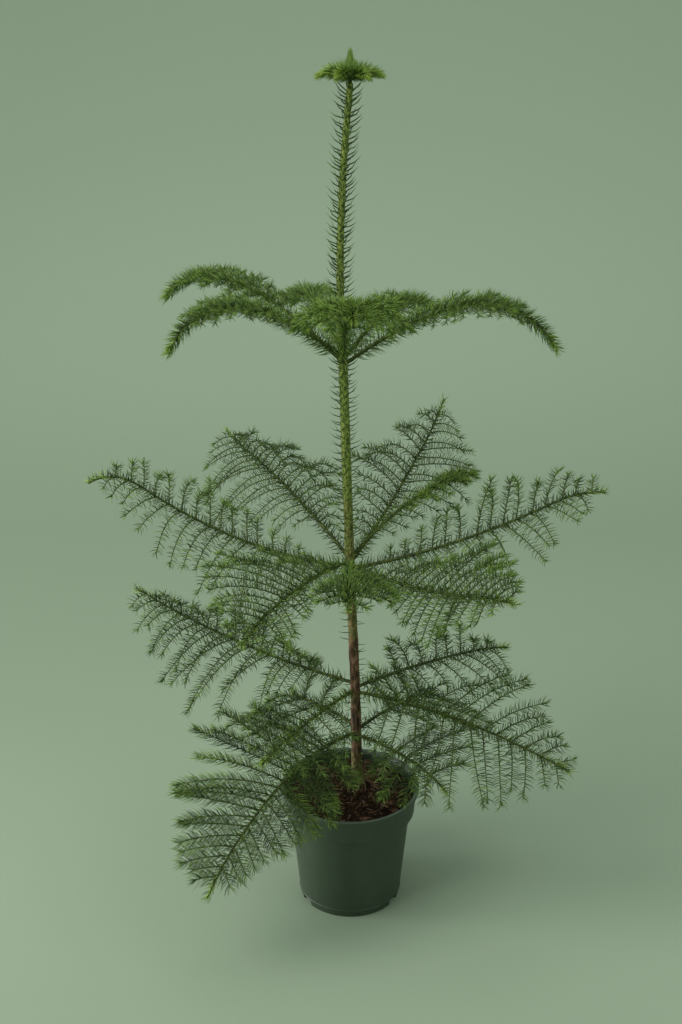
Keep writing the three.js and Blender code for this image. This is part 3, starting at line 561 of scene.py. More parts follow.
root_rng = np.random.default_rng(ROOT_SEED)
root_t = np.linspace(0, 1, ROOTS["rows"])
each_root = (ROOTS["count"], 1)
root_turn = any_turn(root_rng, *each_root) + root_rng.normal(0, ROOTS["wander"], each_root) * root_t
root_reach = trunk_radius(TRUNK_FOOT) + ROOTS["start"] + root_rng.uniform(*ROOT_LENGTH, each_root) * root_t
root_above = ROOTS["above"] + root_rng.uniform(*ROOT_CLIMB, each_root) * (1 - root_t) ** 3
root_paths = on_soil(root_reach, root_turn, root_above, (TRUNK_X[0], TRUNK_Y[0]))
root_thick = root_rng.uniform(*ROOT_RADIUS, each_root) * eased(root_t, 1, ROOT_TAPER)
root_shape = tube(root_paths, root_thick[..., None], ROOTS["sides"])
belongs(put_in_scene("root_fibres", *root_shape, [dead_brown]), "soil")

# The needles on the trunk
# Stout needles stand all round the leader in a spiral, bend upwards and thin out down the trunk, where they
# are shorter. Each green is one plain finish, and every spray is dealt its colours from the same seven.
NEEDLE_GREENS = {
    "shaded": (0.022, 0.044, 0.017),
    "deep": (0.050, 0.090, 0.024),
    "cool": (0.066, 0.112, 0.056),
    "middle": (0.096, 0.170, 0.034),
    "light": (0.168, 0.280, 0.044),
    "fresh": (0.265, 0.400, 0.062),
    "tip": (0.400, 0.500, 0.100),
}
SHADED, DEEP, COOL, MIDDLE, LIGHT, FRESH, TIP = range(len(NEEDLE_GREENS))
SPIRAL = np.radians(137.5)
PLANT_SEED = 7320
LEADER = {"step": 0.85, "foot": 14, "tip": 2, "scatter": 0.16, "kept_below": 0.34, "sunk": 0.75}
LEADER_NEEDLE = {"length": 13.2, "width": 1.2, "lean": 74, "curl": 34}
LEADER_LENGTHS, NEEDLE_WIDTHS = (0.86, 1.1), (0.85, 1.1)
LEADER_SCATTER = {"lean": 7, "curl": 8}
LEADER_HEIGHTS = [318, 455]  # below the first the needles stand apart, and below the second they are smaller
# Below, between and above them: parts of the length and of the width, and degrees on lean and on curl.
LEADER_CHANGES = np.array([(0.72, 0.62, 12, 40), (0.86, 0.72, 8, 14), (1, 1, 0, 0)])
LEADER_COLOURS = {SHADED: 1, DEEP: 5, MIDDLE: 4}

needle_finishes = [
    new_finish(f"needle_{name}", roughness=0.55, shine=0.26, colour=green)[0]
    for name, green in NEEDLE_GREENS.items()
]


def put_needles(name, groups, slot, *nodes):
    """Joins groups of needles, each a pair of points and a colour for every needle, into one piece."""
    points, colours = (np.concatenate(column) for column in zip(*groups))
    finish_of_face = np.concatenate([np.repeat(colours, len(sides)) for sides in (NEEDLE_SIDES, NEEDLE_ENDS)])
    faces = needle_faces(len(points))
    belongs(put_in_scene(name, points.reshape(-1, 3), faces, needle_finishes, finish_of_face), slot, *nodes)


def dealt(rng, count, chances):
    """A colour for each of count things, drawn with those chances, a dictionary of colour and weight."""
    weights = np.array(list(chances.values()), float)
    return rng.choice(np.array(list(chances)), size=count, p=weights / weights.sum())


leader_rng = np.random.default_rng(PLANT_SEED)
leader_z = np.arange(TRUNK_FOOT + LEADER["foot"], TRUNK_TIP - LEADER["tip"], LEADER["step"])
leader_turn = SPIRAL * np.arange(len(leader_z)) + leader_rng.normal(0, LEADER["scatter"], len(leader_z))
kept = (leader_z > LEADER_HEIGHTS[0]) | (leader_rng.uniform(size=len(leader_z)) < LEADER["kept_below"])
leader_z, leader_turn = leader_z[kept], leader_turn[kept]
leader_count, leader_out = len(leader_z), level_at(leader_turn)
shorter, thinner, flatter, straighter = LEADER_CHANGES[np.digitize(leader_z, LEADER_HEIGHTS)].T
leader_points = needle_points(
    trunk_at(leader_z) + leader_out * (trunk_radius(leader_z) * LEADER["sunk"])[:, None],
    unit(trunk_at(leader_z + 1) - trunk_at(leader_z - 1)),
    leader_out,
    LEADER_NEEDLE["length"] * leader_rng.uniform(*LEADER_LENGTHS, leader_count) * shorter,
    LEADER_NEEDLE["width"] * leader_rng.uniform(*NEEDLE_WIDTHS, leader_count) * thinner,
    LEADER_NEEDLE["lean"] + leader_rng.normal(0, LEADER_SCATTER["lean"], leader_count) + flatter,
    LEADER_NEEDLE["curl"] + leader_rng.normal(0, LEADER_SCATTER["curl"], leader_count) + straighter,
)
put_needles("leader_needles", [(leader_points, dealt(leader_rng, leader_count, LEADER_COLOURS))], "needles")

# The top tuft
# The growing tip: a bud ringed by six short shoots of the next tier, thick with soft needles that turn
# yellow-green towards their ends.
TUFT = {"shoots": 6, "reach": 22, "arch": 3.2, "rise": 0.6, "height": 19, "turn": 0.08, "foot": 0.22}
TUFT_STEM = {"radius": (1.6, 0.64), "rows": 14, "sides": 8, "bud": (-1, 0.72 * TUFT["height"])}
# From foot to tip of a shoot or of the bud, with the power of the way between where it isn't even.
TUFT_NEEDLE = {"length": (11.6, 6.96), "lean": (68, 10, 2.4), "curl": (46, 4, 1.6), "lift": (0.28, 0)}
BUD_NEEDLE = {"length": (10.5, 5.46), "lean": (76, 6, 0.6), "curl": (52, 0, 0.6)}
BUD_PLACE = {"height": (0.1, 0.98, 1.3), "radius": (1.4, 0.42)}
TUFT_NEEDLES_EACH, BUD_NEEDLES, TUFT_NEEDLE_WIDTH = 210, 260, 0.8
TUFT_LENGTHS, TUFT_SCATTER, SPIRAL_SCATTER = (0.8, 1.1), 8, 0.3
TUFT_ROOTED = 0.9  # the part of a shoot that carries needles
SHORT_WAY = 0.02  # along a shoot, to find its direction
LIGHT_FROM, FRESH_FROM = 0.5, 0.78
STEM_GREENS = [(0.3, (0.042, 0.068, 0.014)), (0.5, (0.075, 0.110, 0.022)), (0.7, (0.13, 0.17, 0.040))]
STEM_FIBRE = Grain(400, 6, (1, 1, 0.4), 0.0003)

young_stem = speckled_finish("young_stem", STEM_FIBRE, STEM_GREENS, STEM_FIBRE, roughness=0.7, shine=0.3)


def outward_from(along, out, turn):
    """The direction at each turn round a stem: side times cos(turn) plus upper face times sin(turn)."""
    side = unit(np.cross(out, along))
    face = np.cross(along, side)
    return side * np.cos(turn)[:, None] + face * np.sin(turn)[:, None]


tuft_rng = np.random.default_rng(PLANT_SEED + 1)
tuft_foot = trunk_at(TRUNK_TIP)[0]
tuft_middle = tuft_foot + UP * TUFT["foot"] * TUFT["height"]
shoot_level = level_at(2 * np.pi * (np.arange(TUFT["shoots"]) + TUFT["turn"]) / TUFT["shoots"])


def shoot_at(shoot, t):
    """Along a shoot: straight out by its reach, with an arch that is highest half-way and a slight rise."""
    level = shoot_level[shoot] * (TUFT["reach"] * t)[..., None]
    return tuft_middle + level + np.multiply.outer(4 * TUFT["arch"] * t * (1 - t) + TUFT["rise"] * t, UP)


shoot_t = np.linspace(0, 1, TUFT_STEM["rows"])
shoot_paths = [shoot_at(np.full(len(shoot_t), shoot), shoot_t) for shoot in range(TUFT["shoots"])]
bud_path = tuft_foot + np.multiply.outer(np.linspace(*TUFT_STEM["bud"], TUFT_STEM["rows"]), UP)
shoot_radius = eased(shoot_t, *TUFT_STEM["radius"])[None, :, None]
tuft_shape = tube(np.stack([*shoot_paths, bud_path]), shoot_radius, TUFT_STEM["sides"])
belongs(put_in_scene("tuft_stems", *tuft_shape, [young_stem]), "bough")

tuft_count = TUFT["shoots"] * TUFT_NEEDLES_EACH
tuft_shoot = np.repeat(np.arange(TUFT["shoots"]), TUFT_NEEDLES_EACH)
tuft_t = np.tile((np.arange(TUFT_NEEDLES_EACH) + 0.5) / TUFT_NEEDLES_EACH, TUFT["shoots"])
tuft_root = shoot_at(tuft_shoot, tuft_t * TUFT_ROOTED)
tuft_along = unit(shoot_at(tuft_shoot, tuft_t * TUFT_ROOTED + SHORT_WAY) - tuft_root)
tuft_turn = SPIRAL * np.arange(tuft_count) + tuft_rng.normal(0, SPIRAL_SCATTER, tuft_count)
tuft_needles = needle_points(
    tuft_root,
    tuft_along,
    outward_from(tuft_along, np.broadcast_to(UP, tuft_root.shape), tuft_turn),
    eased(tuft_t, *TUFT_NEEDLE["length"]) * tuft_rng.uniform(*TUFT_LENGTHS, tuft_count),
    np.full(tuft_count, TUFT_NEEDLE_WIDTH),
    eased(tuft_t, *TUFT_NEEDLE["lean"]) + tuft_rng.normal(0, TUFT_SCATTER, tuft_count),
    eased(tuft_t, *TUFT_NEEDLE["curl"]) + tuft_rng.normal(0, TUFT_SCATTER, tuft_count),
    eased(tuft_t, *TUFT_NEEDLE["lift"]),
)
tuft_ends = [dealt(tuft_rng, tuft_count, chances) for chances in ({FRESH: 3, TIP: 2}, {LIGHT: 4, FRESH: 2})]
tuft_inner = dealt(tuft_rng, tuft_count, {MIDDLE: 5, LIGHT: 4})
tuft_colours = np.select([tuft_t > FRESH_FROM, tuft_t > LIGHT_FROM], tuft_ends, tuft_inner)
bud_t = (np.arange(BUD_NEEDLES) + 0.5) / BUD_NEEDLES
bud_out = level_at(SPIRAL * np.arange(BUD_NEEDLES))
bud_root = tuft_foot + np.multiply.outer(eased(bud_t, *BUD_PLACE["height"]) * TUFT["height"], UP)
bud_needles = needle_points(
    bud_root + bud_out * eased(bud_t, *BUD_PLACE["radius"])[:, None],
    np.broadcast_to(UP, bud_root.shape),
    bud_out,
    eased(bud_t, *BUD_NEEDLE["length"]) * tuft_rng.uniform(*TUFT_LENGTHS, BUD_NEEDLES),
    np.full(BUD_NEEDLES, TUFT_NEEDLE_WIDTH),
    eased(bud_t, *BUD_NEEDLE["lean"]),
    eased(bud_t, *BUD_NEEDLE["curl"]),
)
bud_colours = dealt(tuft_rng, BUD_NEEDLES, {MIDDLE: 4, LIGHT: 4})
tuft_groups = [(tuft_needles, tuft_colours), (bud_needles, bud_colours)]
put_needles("tuft_needles", tuft_groups, "needles", "top_tuft")

# The boughs
# Tiers of boughs leave the trunk like the spokes of a wheel. The youngest tier arches over, the three below
# reach out with their fronds turned to the light. Each is a dark green limb set with its needles' feet.
BOUGH_RADIUS = (1.5, 0.7)  # at the trunk and at the tip
STAGGER = 2.0  # step in height between the boughs of a tier
TIP_NOD = 0.8  # place where a bough's tip begins to nod
BOUGH_ROWS, BOUGH_SIDES = 150, 10
BOUGH_STEPS = 201  # places at which a bough's length is measured
BOUGH_CUSHION = {"around": 4, "rise": 4.0, "low": 0.9, "depth": 0.35}
BOUGH_GREENS = [(0.3, (0.022, 0.036, 0.008)), (0.5, (0.060, 0.088, 0.016)), (0.7, (0.115, 0.145, 0.032))]
BOUGH_SCALES = Grain(300, 6, depth=0.0004)
# Each tier: height, bare (start of each bough that carries no twigs) and step between pairs of twigs in the
# part's source. Each bough: its name, azimuth, reach, launch (degrees above level), knee (place of the
# bend), rise of its tip, nod of the tip, facing (how far its frond turns to the front, degrees), left and
# right (its longest twig on either side, seen from the trunk), sag of its twigs, and finer (how many twigs
# grow here for one in the source).
BOUGH_VALUES = "name azimuth reach launch knee rise nod facing left right sag finer".split()
WHORLS = [
    {
        "name": "whorl1", "height": 463, "bare": 24, "step": 28,
        "boughs": [
            ("right", -10, 154, 39, 0.71, 20, 0, 6, 22, 22, 0.34, 5),
            ("back_right", 50, 104, 34, 0.7, 20, 0, 6, 22, 22, 0.34, 5),
            ("back_left", 112, 104, 36, 0.7, 16, 0, 6, 22, 22, 0.34, 5),
            ("left_back", 157, 146, 41, 0.7, 36, 0, 6, 22, 22, 0.34, 5),
            ("left_front", 201, 130, 40, 0.74, 17, 0, 6, 22, 22, 0.34, 5),
            ("front", 274, 92, 54, 0.62, 56, 0, 6, 48, 48, 0.55, 5),
        ],
    },
    {
        "name": "whorl2", "height": 299, "bare": 26, "step": 22,
        "boughs": [
            ("right", -3, 192, 12, 0.5, 80, 13, 18, 74, 64, 0.34, 2),
            ("back_right", 57, 144, 24, 0.5, 90, -6, 27, 64, 68, 0.4, 3),
            ("back_left", 127, 173, 26, 0.5, 55, -4, 27, 78, 78, 0.65, 3),
            ("left", 175, 203, 3.5, 0.5, 92, 30, 18, 62, 60, 0.4, 2),
            ("front_left", 242, 158, 13, 0.5, 4, 6, 36, 75, 75, 0.34, 3),
            ("front", 269, 140, 21, 0.5, 37, 6, 36, 75, 75, 0.28, 3),
            ("front_right", 308, 180, 1, 0.5, 38, 6, 34, 76, 62, 0.34, 3),
            ("between", 36, 125, 38, 0.5, 46, 4, -12, 40, 40, 0.34, 3),
        ],
    },
    {
        "name": "whorl3", "height": 188.5, "bare": 30, "step": 22,
        "boughs": [
            ("right_front", -27, 182, 6, 0.45, -23, 0, 27, 73, 73, 0.34, 2),
            ("right_back", 27, 146, 9, 0.5, 5, 3, 16, 60, 54, 0.5, 2),
            ("left", 162, 190, 8, 0.55, 57, 0, 8, 73, 48, 0.62, 3),
            ("front_left", 230, 112, 0, 0.5, -16, 2, 27, 46, 50, 0.34, 2),
        ],
    },
    {
        "name": "whorl4", "height": 147.5, "bare": 34, "step": 22,
        "boughs": [
            ("right", -40, 92, 8, 0.5, -14, 3, 20, 54, 46, 0.2, 2),
            ("back_right", 47, 100, 10, 0.5, -4, 3, 20, 50, 76, 0.2, 2),
            ("back_left", 135, 90, 10, 0.5, -4, 3, 20, 76, 50, 0.2, 2),
            ("left_front", 229.5, 174, 14, 0.5, -60, 4, 28, 54, 88, 0.2, 3),
        ],
    },
]


def past(t, start):
    """How far t has come from start to 1, from 0 to 1."""
    return np.clip((t - start) / (1 - start), 0, 1)


def bough_of(index, whorl, order):
    """A bough's values by name, with its curve points, its frond's face and its length without nod."""
    bough = dict(zip(BOUGH_VALUES, whorl["boughs"][order]), whorl=whorl, index=index)
    reach, knee = bough["reach"], bough["knee"]
    launch, facing = np.radians(bough["launch"]), np.radians(bough["facing"])
    level = level_at(np.radians(bough["azimuth"]))
    start = trunk_at(whorl["height"] + STAGGER * ((2 * order) % 5 - 2))[0]
    bend = start + level * reach * knee + UP * reach * knee * np.tan(launch)
    bough["points"] = (start, bend, start + level * reach + UP * bough["rise"])
    bough["face"] = UP * np.cos(facing) + FRONT * np.sin(facing)
    steps = np.diff(bough_at({**bough, "nod": 0}, np.linspace(0, 1, BOUGH_STEPS)), axis=0)
    bough["length"] = np.linalg.norm(steps, axis=1).sum()
    return bough


def bough_at(bough, s):
    """Places along a bough: the curve (1-s)^2 P + 2s(1-s) Q + s^2 R, with its tip let down by nod times the
    square of the part past TIP_NOD."""
    start, bend, end = bough["points"]
    s = np.asarray(s, float)[..., None]
    hang = bough["nod"] * past(s, TIP_NOD) ** 2
    return (1 - s) ** 2 * start + 2 * s * (1 - s) * bend + s**2 * end - hang * UP


def bough_frame(bough, s):
    """The directions along the bough, out of its frond's face, and across the frond, at each place."""
    start, bend, end = bough["points"]
    s = np.asarray(s, float)[..., None]
    along = unit((1 - s) * (bend - start) + s * (end - bend))
    face = bough["face"]
    out = unit(face - along * (along @ face)[..., None])
    return along, out, np.cross(out, along)


def tier_of(whorl):
    """The boughs of one tier."""
    return [bough for bough in boughs if bough["whorl"] is whorl]


all_orders = [(whorl, order) for whorl in WHORLS for order in range(len(whorl["boughs"]))]
boughs = [bough_of(index, *place) for index, place in enumerate(all_orders)]
bough_bark = speckled_finish("bough_bark", BOUGH_SCALES, BOUGH_GREENS, BOUGH_SCALES, roughness=0.7, shine=0.3)
for whorl in WHORLS:
    own = tier_of(whorl)
    places = np.linspace(0, 1, BOUGH_ROWS)
    paths = np.stack([bough_at(bough, places) for bough in own])
    distance = places[:, None] * np.array([bough["length"] for bough in own])[:, None, None]
    knobs = cushions(turns(BOUGH_SIDES), distance, BOUGH_CUSHION["around"], BOUGH_CUSHION["rise"])
    thick = eased(places, *BOUGH_RADIUS)[:, None] * (BOUGH_CUSHION["low"] + BOUGH_CUSHION["depth"] * knobs)
    limbs = put_in_scene(f"boughs_{whorl['name']}", *tube(paths, thick, BOUGH_SIDES), [bough_bark])
    belongs(limbs, "bough", *(f"bough_{whorl['name']}_{bough['name']}" for bough in own))

# The fronds
# Side twigs leave each bough in pairs, two to five where the part's source has one, and hang a little at
# their ends. Soft curved needles stand all round every twig, and the youngest ones at the ends are pale.
FIRST_TWIG, LAST_TWIG = 8.0, 0.94  # past the bare start, in millimetres, and as a part of the bough
TWIG_ANGLE = (76, 56)  # of the first twig with the bough, and of the last
TWIG_LIFT = 0.3
TWIG_BEND = {"sag": 0.8, "sweep": 0.32}  # scatter of the sag, and of a sideways bend, from twig to twig
TWIG_SCATTER = {"place": 0.18, "angle": 6, "length": 0.14}
SHORTEST_TWIG = 13.0
WIDEST = {"place": 0.3, "at_trunk": 0.74, "at_tip": 0.2, "fullness": 1.5}
SPRAY_HALF_WIDTH, GAP = 6.2, 0.3
TWIG_ROWS, TWIG_SIDES = 9, 5
TWIG_RADIUS = (0.62, 0.34)
POT_CLEAR = {"wall": 1.2, "soil": 1, "twig_end": 0.12}  # what needles and twigs keep from the pot
POT_TESTS = np.linspace(0.1, 1, 24)  # places along a twig that are tested
TWIG_SEEDS, NEEDLE_SEEDS = 101, 13  # steps of the seed from bough to bough
FINER_SEED = 50021  # step to the seed of the finer twigs
# A kind of needle: how many stand on a millimetre of stem, its angles with the stem at its foot (lean) and
# at its tip (curl), and how far its tip turns up (lift).
Needle = namedtuple("Needle", "length width per_mm lean curl lift")
TWIG_NEEDLES = {"span": (0.03, 0.99), "lengths": (0.78, 1.08), "closed": (24, 22), "scatter": (6, 7)}
TWIG_LENGTHS, TWIG_YOUNG = ([0, 0.2, 0.85, 1], [0.8, 1, 1, 0.85]), 0.8
AXIS_NEEDLES = {"span": (0.04, 1), "lengths": (0.8, 1.1), "closed": (36, 34), "scatter": (8, 8)}
AXIS_LENGTHS, AXIS_YOUNG = ([0, 0.86, 1], [1.25, 0.992, 0.85]), 0.86
AXIS_LIFT = [0.15, 0.65]  # where on the bough its needles begin to turn up, and where they do so in full
END_NEEDLES = {"each": 5, "span": (0.92, 1), "lengths": (0.5, 0.8), "lean": (10, 55), "curl": (0, 34)}
COMBED = {"sides": (0.2, 0.42), "upper": (np.pi / 2, 0.5), "upper_part": 0.2}
SPARSE_ROOT = {"kept": 0.8, "until": 0.3}  # the part of the youngest boughs' needles left at the trunk
STRAY = 0.4  # the part of a spray's needles that doesn't wear the spray's own colour
# How far along a twig its needles may wear the inner colours: mostly darker greens, painted shade inside the
# frond.
INNER_SHADE_UNTIL, PALE_FROM = (0.1, 0.55), (0.68, 1.0)
AXIS_TIPS, AXIS_PALE_FROM = {FRESH: 3, LIGHT: 2}, (0.2, 1)
BEHIND, BEFORE = 0.4, -0.3  # sines of the azimuth past which a frond is at the back, or at the front
# In each look, the inner colours are those of the needles near a twig's root, mostly darker greens that paint
# the shade inside the frond.
SIDE_FROND = {
    "needle": Needle(8.8, 0.7, 1.15, 86, 42, 0.08),
    "colours": {DEEP: 3, MIDDLE: 6, LIGHT: 3},
    "inner_shade": {DEEP: 5, COOL: 1, MIDDLE: 4},
    "tips": {MIDDLE: 4, LIGHT: 4},
    "axis_needle": Needle(9.0, 0.8, 2.0, 82, 54, 0.12),
    "axis": {SHADED: 3, DEEP: 5, MIDDLE: 2},
}
ROPE_FROND = {
    "needle": Needle(8.2, 0.66, 2.2, 70, 36, 0.25),
    "colours": {MIDDLE: 7, LIGHT: 3},
    "inner_shade": {DEEP: 1, MIDDLE: 6, LIGHT: 3},
    "tips": {MIDDLE: 5, LIGHT: 4},
    "axis_needle": Needle(10.2, 0.7, 5.2, 76, 40, 0.4),
    "axis": {DEEP: 1, MIDDLE: 6, LIGHT: 3},
}
BACK_FROND = {
    "colours": {SHADED: 1, DEEP: 5, COOL: 2, MIDDLE: 4, LIGHT: 1},
    "tips": {DEEP: 1, MIDDLE: 5, LIGHT: 3},
}
FRONT_FROND = {
    "needle": Needle(9.2, 0.72, 1.5, 84, 42, 0.08),
    "axis_needle": Needle(9.2, 0.8, 2.6, 82, 50, 0.12),
    "axis": SIDE_FROND["colours"],
}
LOWER_FROND = {
    "needle": Needle(9.6, 0.76, 1.3, 84, 42, 0.08),
    "colours": {SHADED: 1, DEEP: 5, COOL: 1, MIDDLE: 4, LIGHT: 1},
    "tips": {DEEP: 1, MIDDLE: 5, LIGHT: 2},
}
LOWEST_FROND = {
    "needle": Needle(12.0, 0.58, 2.6, 66, 26, 0.08),
    "colours": {SHADED: 3, DEEP: 4, MIDDLE: 4, LIGHT: 2},
    "tips": {DEEP: 1, MIDDLE: 4, LIGHT: 3},
}
NEAR_FROND = {"needle": Needle(9.6, 0.68, 3.0, 80, 42, 0.1), "inner_shade": SIDE_FROND["colours"]}
LIT_COLOURS = {MIDDLE: 4, LIGHT: 6}
LIT_FROND = {
    "needle": NEAR_FROND["needle"],
    "colours": LIT_COLOURS,
    "inner_shade": LIT_COLOURS,
    "tips": {MIDDLE: 2, LIGHT: 5, FRESH: 2},
    "axis": LIT_COLOURS,
}


def numbers_from(seed, *shape):
    """The row of numbers from 0 to 1 that the part's source draws from: each is the last times 1664525 plus
    1013904223, within 32 bits."""
    state, drawn = seed, []
    for _ in range(np.prod(shape)):
        state = (state * 1664525 + 1013904223) % 2**32
        drawn.append(state / 2**32)
    return np.array(drawn).reshape(shape)


def twig_share(u):
    """How much of the longest length a twig keeps: more from the trunk to WIDEST, then less to the tip."""
    widest = WIDEST["place"]
    near = eased(u / widest, WIDEST["at_trunk"], 1)
    far = eased(past(u, widest), 1, WIDEST["at_tip"], WIDEST["fullness"])
    return np.where(u < widest, near, far)


def turn_to_next(bough, hand):
    """Degrees from a bough to the next one of its tier, to the left (1) or to the right (-1), without the
    bough that grows between two others."""
    others = [other["azimuth"] for other in tier_of(bough["whorl"]) if other["name"] != "between"]
    around = [hand * (other - bough["azimuth"]) % 360 for other in others]
    return min(turn for turn in around if turn > 0)


def in_the_pot(places):
    """Whether a place lies in the pot's wall or its soil."""
    x, y, z = np.moveaxis(places, -1, 0)
    radius = np.hypot(x, y)
    outer = np.array(pot_outside[1:-1])
    wall = np.interp(z, outer[:, 1], outer[:, 0]) + POT_CLEAR["wall"]
    over_soil = (radius < RIM_RADIUS - LIP - 2 * WALL) & (z > soil_height(x, y) + POT_CLEAR["soil"])
    return (radius < wall) & (z < POT_HEIGHT + 1) & ~over_soil


def twigs_of(bough):
    """The side twigs of a bough: their roots, directions, bends, lengths and faces. A twig stops at the
    upright plane half-way to the next bough and where it meets the pot."""
    whorl, finer, length = bough["whorl"], bough["finer"], bough["length"]
    first = (whorl["bare"] + FIRST_TWIG) / length
    source_pairs = int((LAST_TWIG - first) * length / whorl["step"]) + 1
    pairs = finer * (source_pairs - 1) + 1
    seed = PLANT_SEED + TWIG_SEEDS * bough["index"]
    draws = numbers_from(seed + FINER_SEED, pairs, 2, 3)
    draws[::finer] = numbers_from(seed, source_pairs, 2, 3)
    draws -= 0.5
    hand = np.array([1.0, -1.0])
    u = np.broadcast_to((np.arange(pairs) / (pairs - 1))[:, None], (pairs, 2))
    scatter = np.full((pairs, 1), TWIG_SCATTER["place"] * whorl["step"] / finer)
    scatter[::finer] *= finer
    s = eased(u, first, LAST_TWIG) + scatter * hand * draws[..., 0] / length
    angle = np.radians(eased(u, *TWIG_ANGLE) + TWIG_SCATTER["angle"] * draws[..., 1])[..., None]
    longest = np.array([bough["left"], bough["right"]])
    wanted = longest * twig_share(u) * (1 + TWIG_SCATTER["length"] * draws[..., 2])
    along, out, side = bough_frame(bough, s)
    root = bough_at(bough, s)
    twig = unit(along * np.cos(angle) + side * hand[:, None] * np.sin(angle) + out * TWIG_LIFT)
    half_turn = np.array([turn_to_next(bough, each) / 2 for each in hand])
    border = np.radians(bough["azimuth"] + hand * half_turn)
    inwards = np.stack([hand * np.sin(border), -hand * np.cos(border), np.zeros(2)], axis=-1)
    room = ((root - bough["points"][0]) * inwards).sum(axis=-1) - SPRAY_HALF_WIDTH - GAP
    closing = -(twig * inwards).sum(axis=-1)
    long = np.where(closing > 0, np.minimum(wanted, room / np.maximum(closing, 1e-6)), wanted)
    bends = numbers_from(seed + 2 * FINER_SEED, pairs, 2, 2, 1) - 0.5
    bend = along * TWIG_BEND["sweep"] * bends[..., 1, :]
    bend = bend - UP * bough["sag"] * (1 + TWIG_BEND["sag"] * bends[..., 0, :])
    tested = twig_at(*(part[..., None, :] for part in (root, twig, bend)), long[..., None], POT_TESTS)
    hits = in_the_pot(tested)
    until_pot = long * (POT_TESTS[hits.argmax(axis=-1)] - POT_CLEAR["twig_end"])
    long = np.where(hits.any(axis=-1), until_pot, long)
    return [part[long > SHORTEST_TWIG] for part in (root, twig, bend, long, out)]


def twig_at(root, along, bend, length, t):
    """Places along a twig: straight on along its direction, with a bend that grows with the square of t."""
    return root + (along + bend * t[..., None]) * (t * length)[..., None]


def combed(rng, count):
    """Turns round a twig for needles that part to its two sides in turn, with some on the upper face: 0 and
    pi are the sides and pi / 2 the upper face, each with a scatter."""
    aside = rng.normal(*COMBED["sides"], count)
    turn = np.where(np.arange(count) % 2 == 0, aside, np.pi - aside)
    upper = rng.uniform(size=count) < COMBED["upper_part"]
    return np.where(upper, rng.normal(*COMBED["upper"], count), turn)


def on_twigs(rng, twigs, t):
    """For a needle at t along each of those twigs: its root, the twig's direction and its way out."""
    root, along, bend, length, out = twigs
    tangent = unit(along + 2 * bend * t[:, None])
    return twig_at(root, along, bend, length, t), tangent, outward_from(tangent, out, combed(rng, len(t)))


def needle_sizes(rng, kind, rule, share, young):
    """Length, width, lean and curl of needles: their kind's, with a scatter, and closer where young."""
    count = len(young)
    yield kind.length * rng.uniform(*rule["lengths"], count) * share
    yield kind.width * rng.uniform(*NEEDLE_WIDTHS, count)
    for angle, closed, scatter in zip((kind.lean, kind.curl), rule["closed"], rule["scatter"]):
        yield angle - closed * young + rng.normal(0, scatter, count)


def twig_needles(rng, twigs, look):
    """The needles of a bough's twigs: points and colours. Each twig is dealt one colour for its spray, with
    other colours towards its root, mostly darker as painted shade inside the frond, and towards its end."""
    kind = look["needle"]
    each = (twigs[3] * kind.per_mm).astype(int)
    twig = np.repeat(np.arange(len(each)), each)
    count = len(twig)
    order = np.arange(count) - np.repeat(np.cumsum(each) - each, each)
    t = eased((order + rng.uniform(0, 1, count)) / each[twig], *TWIG_NEEDLES["span"])
    places = on_twigs(rng, [part[twig] for part in twigs], t)
    sizes = needle_sizes(rng, kind, TWIG_NEEDLES, np.interp(t, *TWIG_LENGTHS), past(t, TWIG_YOUNG))
    points = needle_points(*places, *sizes, kind.lift)
    spray = dealt(rng, len(each), look["colours"])[twig]
    stray = rng.uniform(size=count) < STRAY
    colours = np.where(stray, dealt(rng, count, look["colours"]), spray)
    # Needles near the twig's root take the inner colours, painted shade inside the frond.
    inner_shade = t < rng.uniform(*INNER_SHADE_UNTIL, count)
    colours = np.where(inner_shade, dealt(rng, count, look["inner_shade"]), colours)
    pale = t > rng.uniform(*PALE_FROM, count)
    return points, np.where(pale, dealt(rng, count, look["tips"]), colours)


def end_needles(rng, twigs, look):
    """The close needles that end each twig, spread into a small brush."""
    kind = look["needle"]
    own = [np.repeat(part, END_NEEDLES["each"], axis=0) for part in twigs]
    count = len(own[0])
    points = needle_points(
        *on_twigs(rng, own, rng.uniform(*END_NEEDLES["span"], count)),
        kind.length * rng.uniform(*END_NEEDLES["lengths"], count),
        np.full(count, kind.width),
        rng.uniform(*END_NEEDLES["lean"], count),
        rng.uniform(*END_NEEDLES["curl"], count),
        kind.lift,
    )
    return points, dealt(rng, count, look["tips"])


def axis_needles(rng, bough, look):
    """The stout needles along the bough itself."""
    kind = look["axis_needle"]
    count = int(bough["length"] * kind.per_mm)
    s = eased((np.arange(count) + rng.uniform(0, 1, count)) / count, *AXIS_NEEDLES["span"])
    if bough["whorl"]["name"] == "whorl1" and bough["name"] != "front":
        s = s[rng.uniform(size=count) < np.interp(s, [0, SPARSE_ROOT["until"]], [SPARSE_ROOT["kept"], 1])]
        count = len(s)
    along, out, _ = bough_frame(bough, s)
    turn = SPIRAL * np.arange(count) + rng.normal(0, SPIRAL_SCATTER, count)
    young = past(s, AXIS_YOUNG)
    sizes = needle_sizes(rng, kind, AXIS_NEEDLES, np.interp(s, *AXIS_LENGTHS), young)
    lift = kind.lift * np.interp(s, AXIS_LIFT, [0, 1])
    points = needle_points(bough_at(bough, s), along, outward_from(along, out, turn), *sizes, lift)
    colours = dealt(rng, count, look["axis"])
    pale = young > rng.uniform(*AXIS_PALE_FROM, count)
    return points, np.where(pale, dealt(rng, count, AXIS_TIPS), colours)


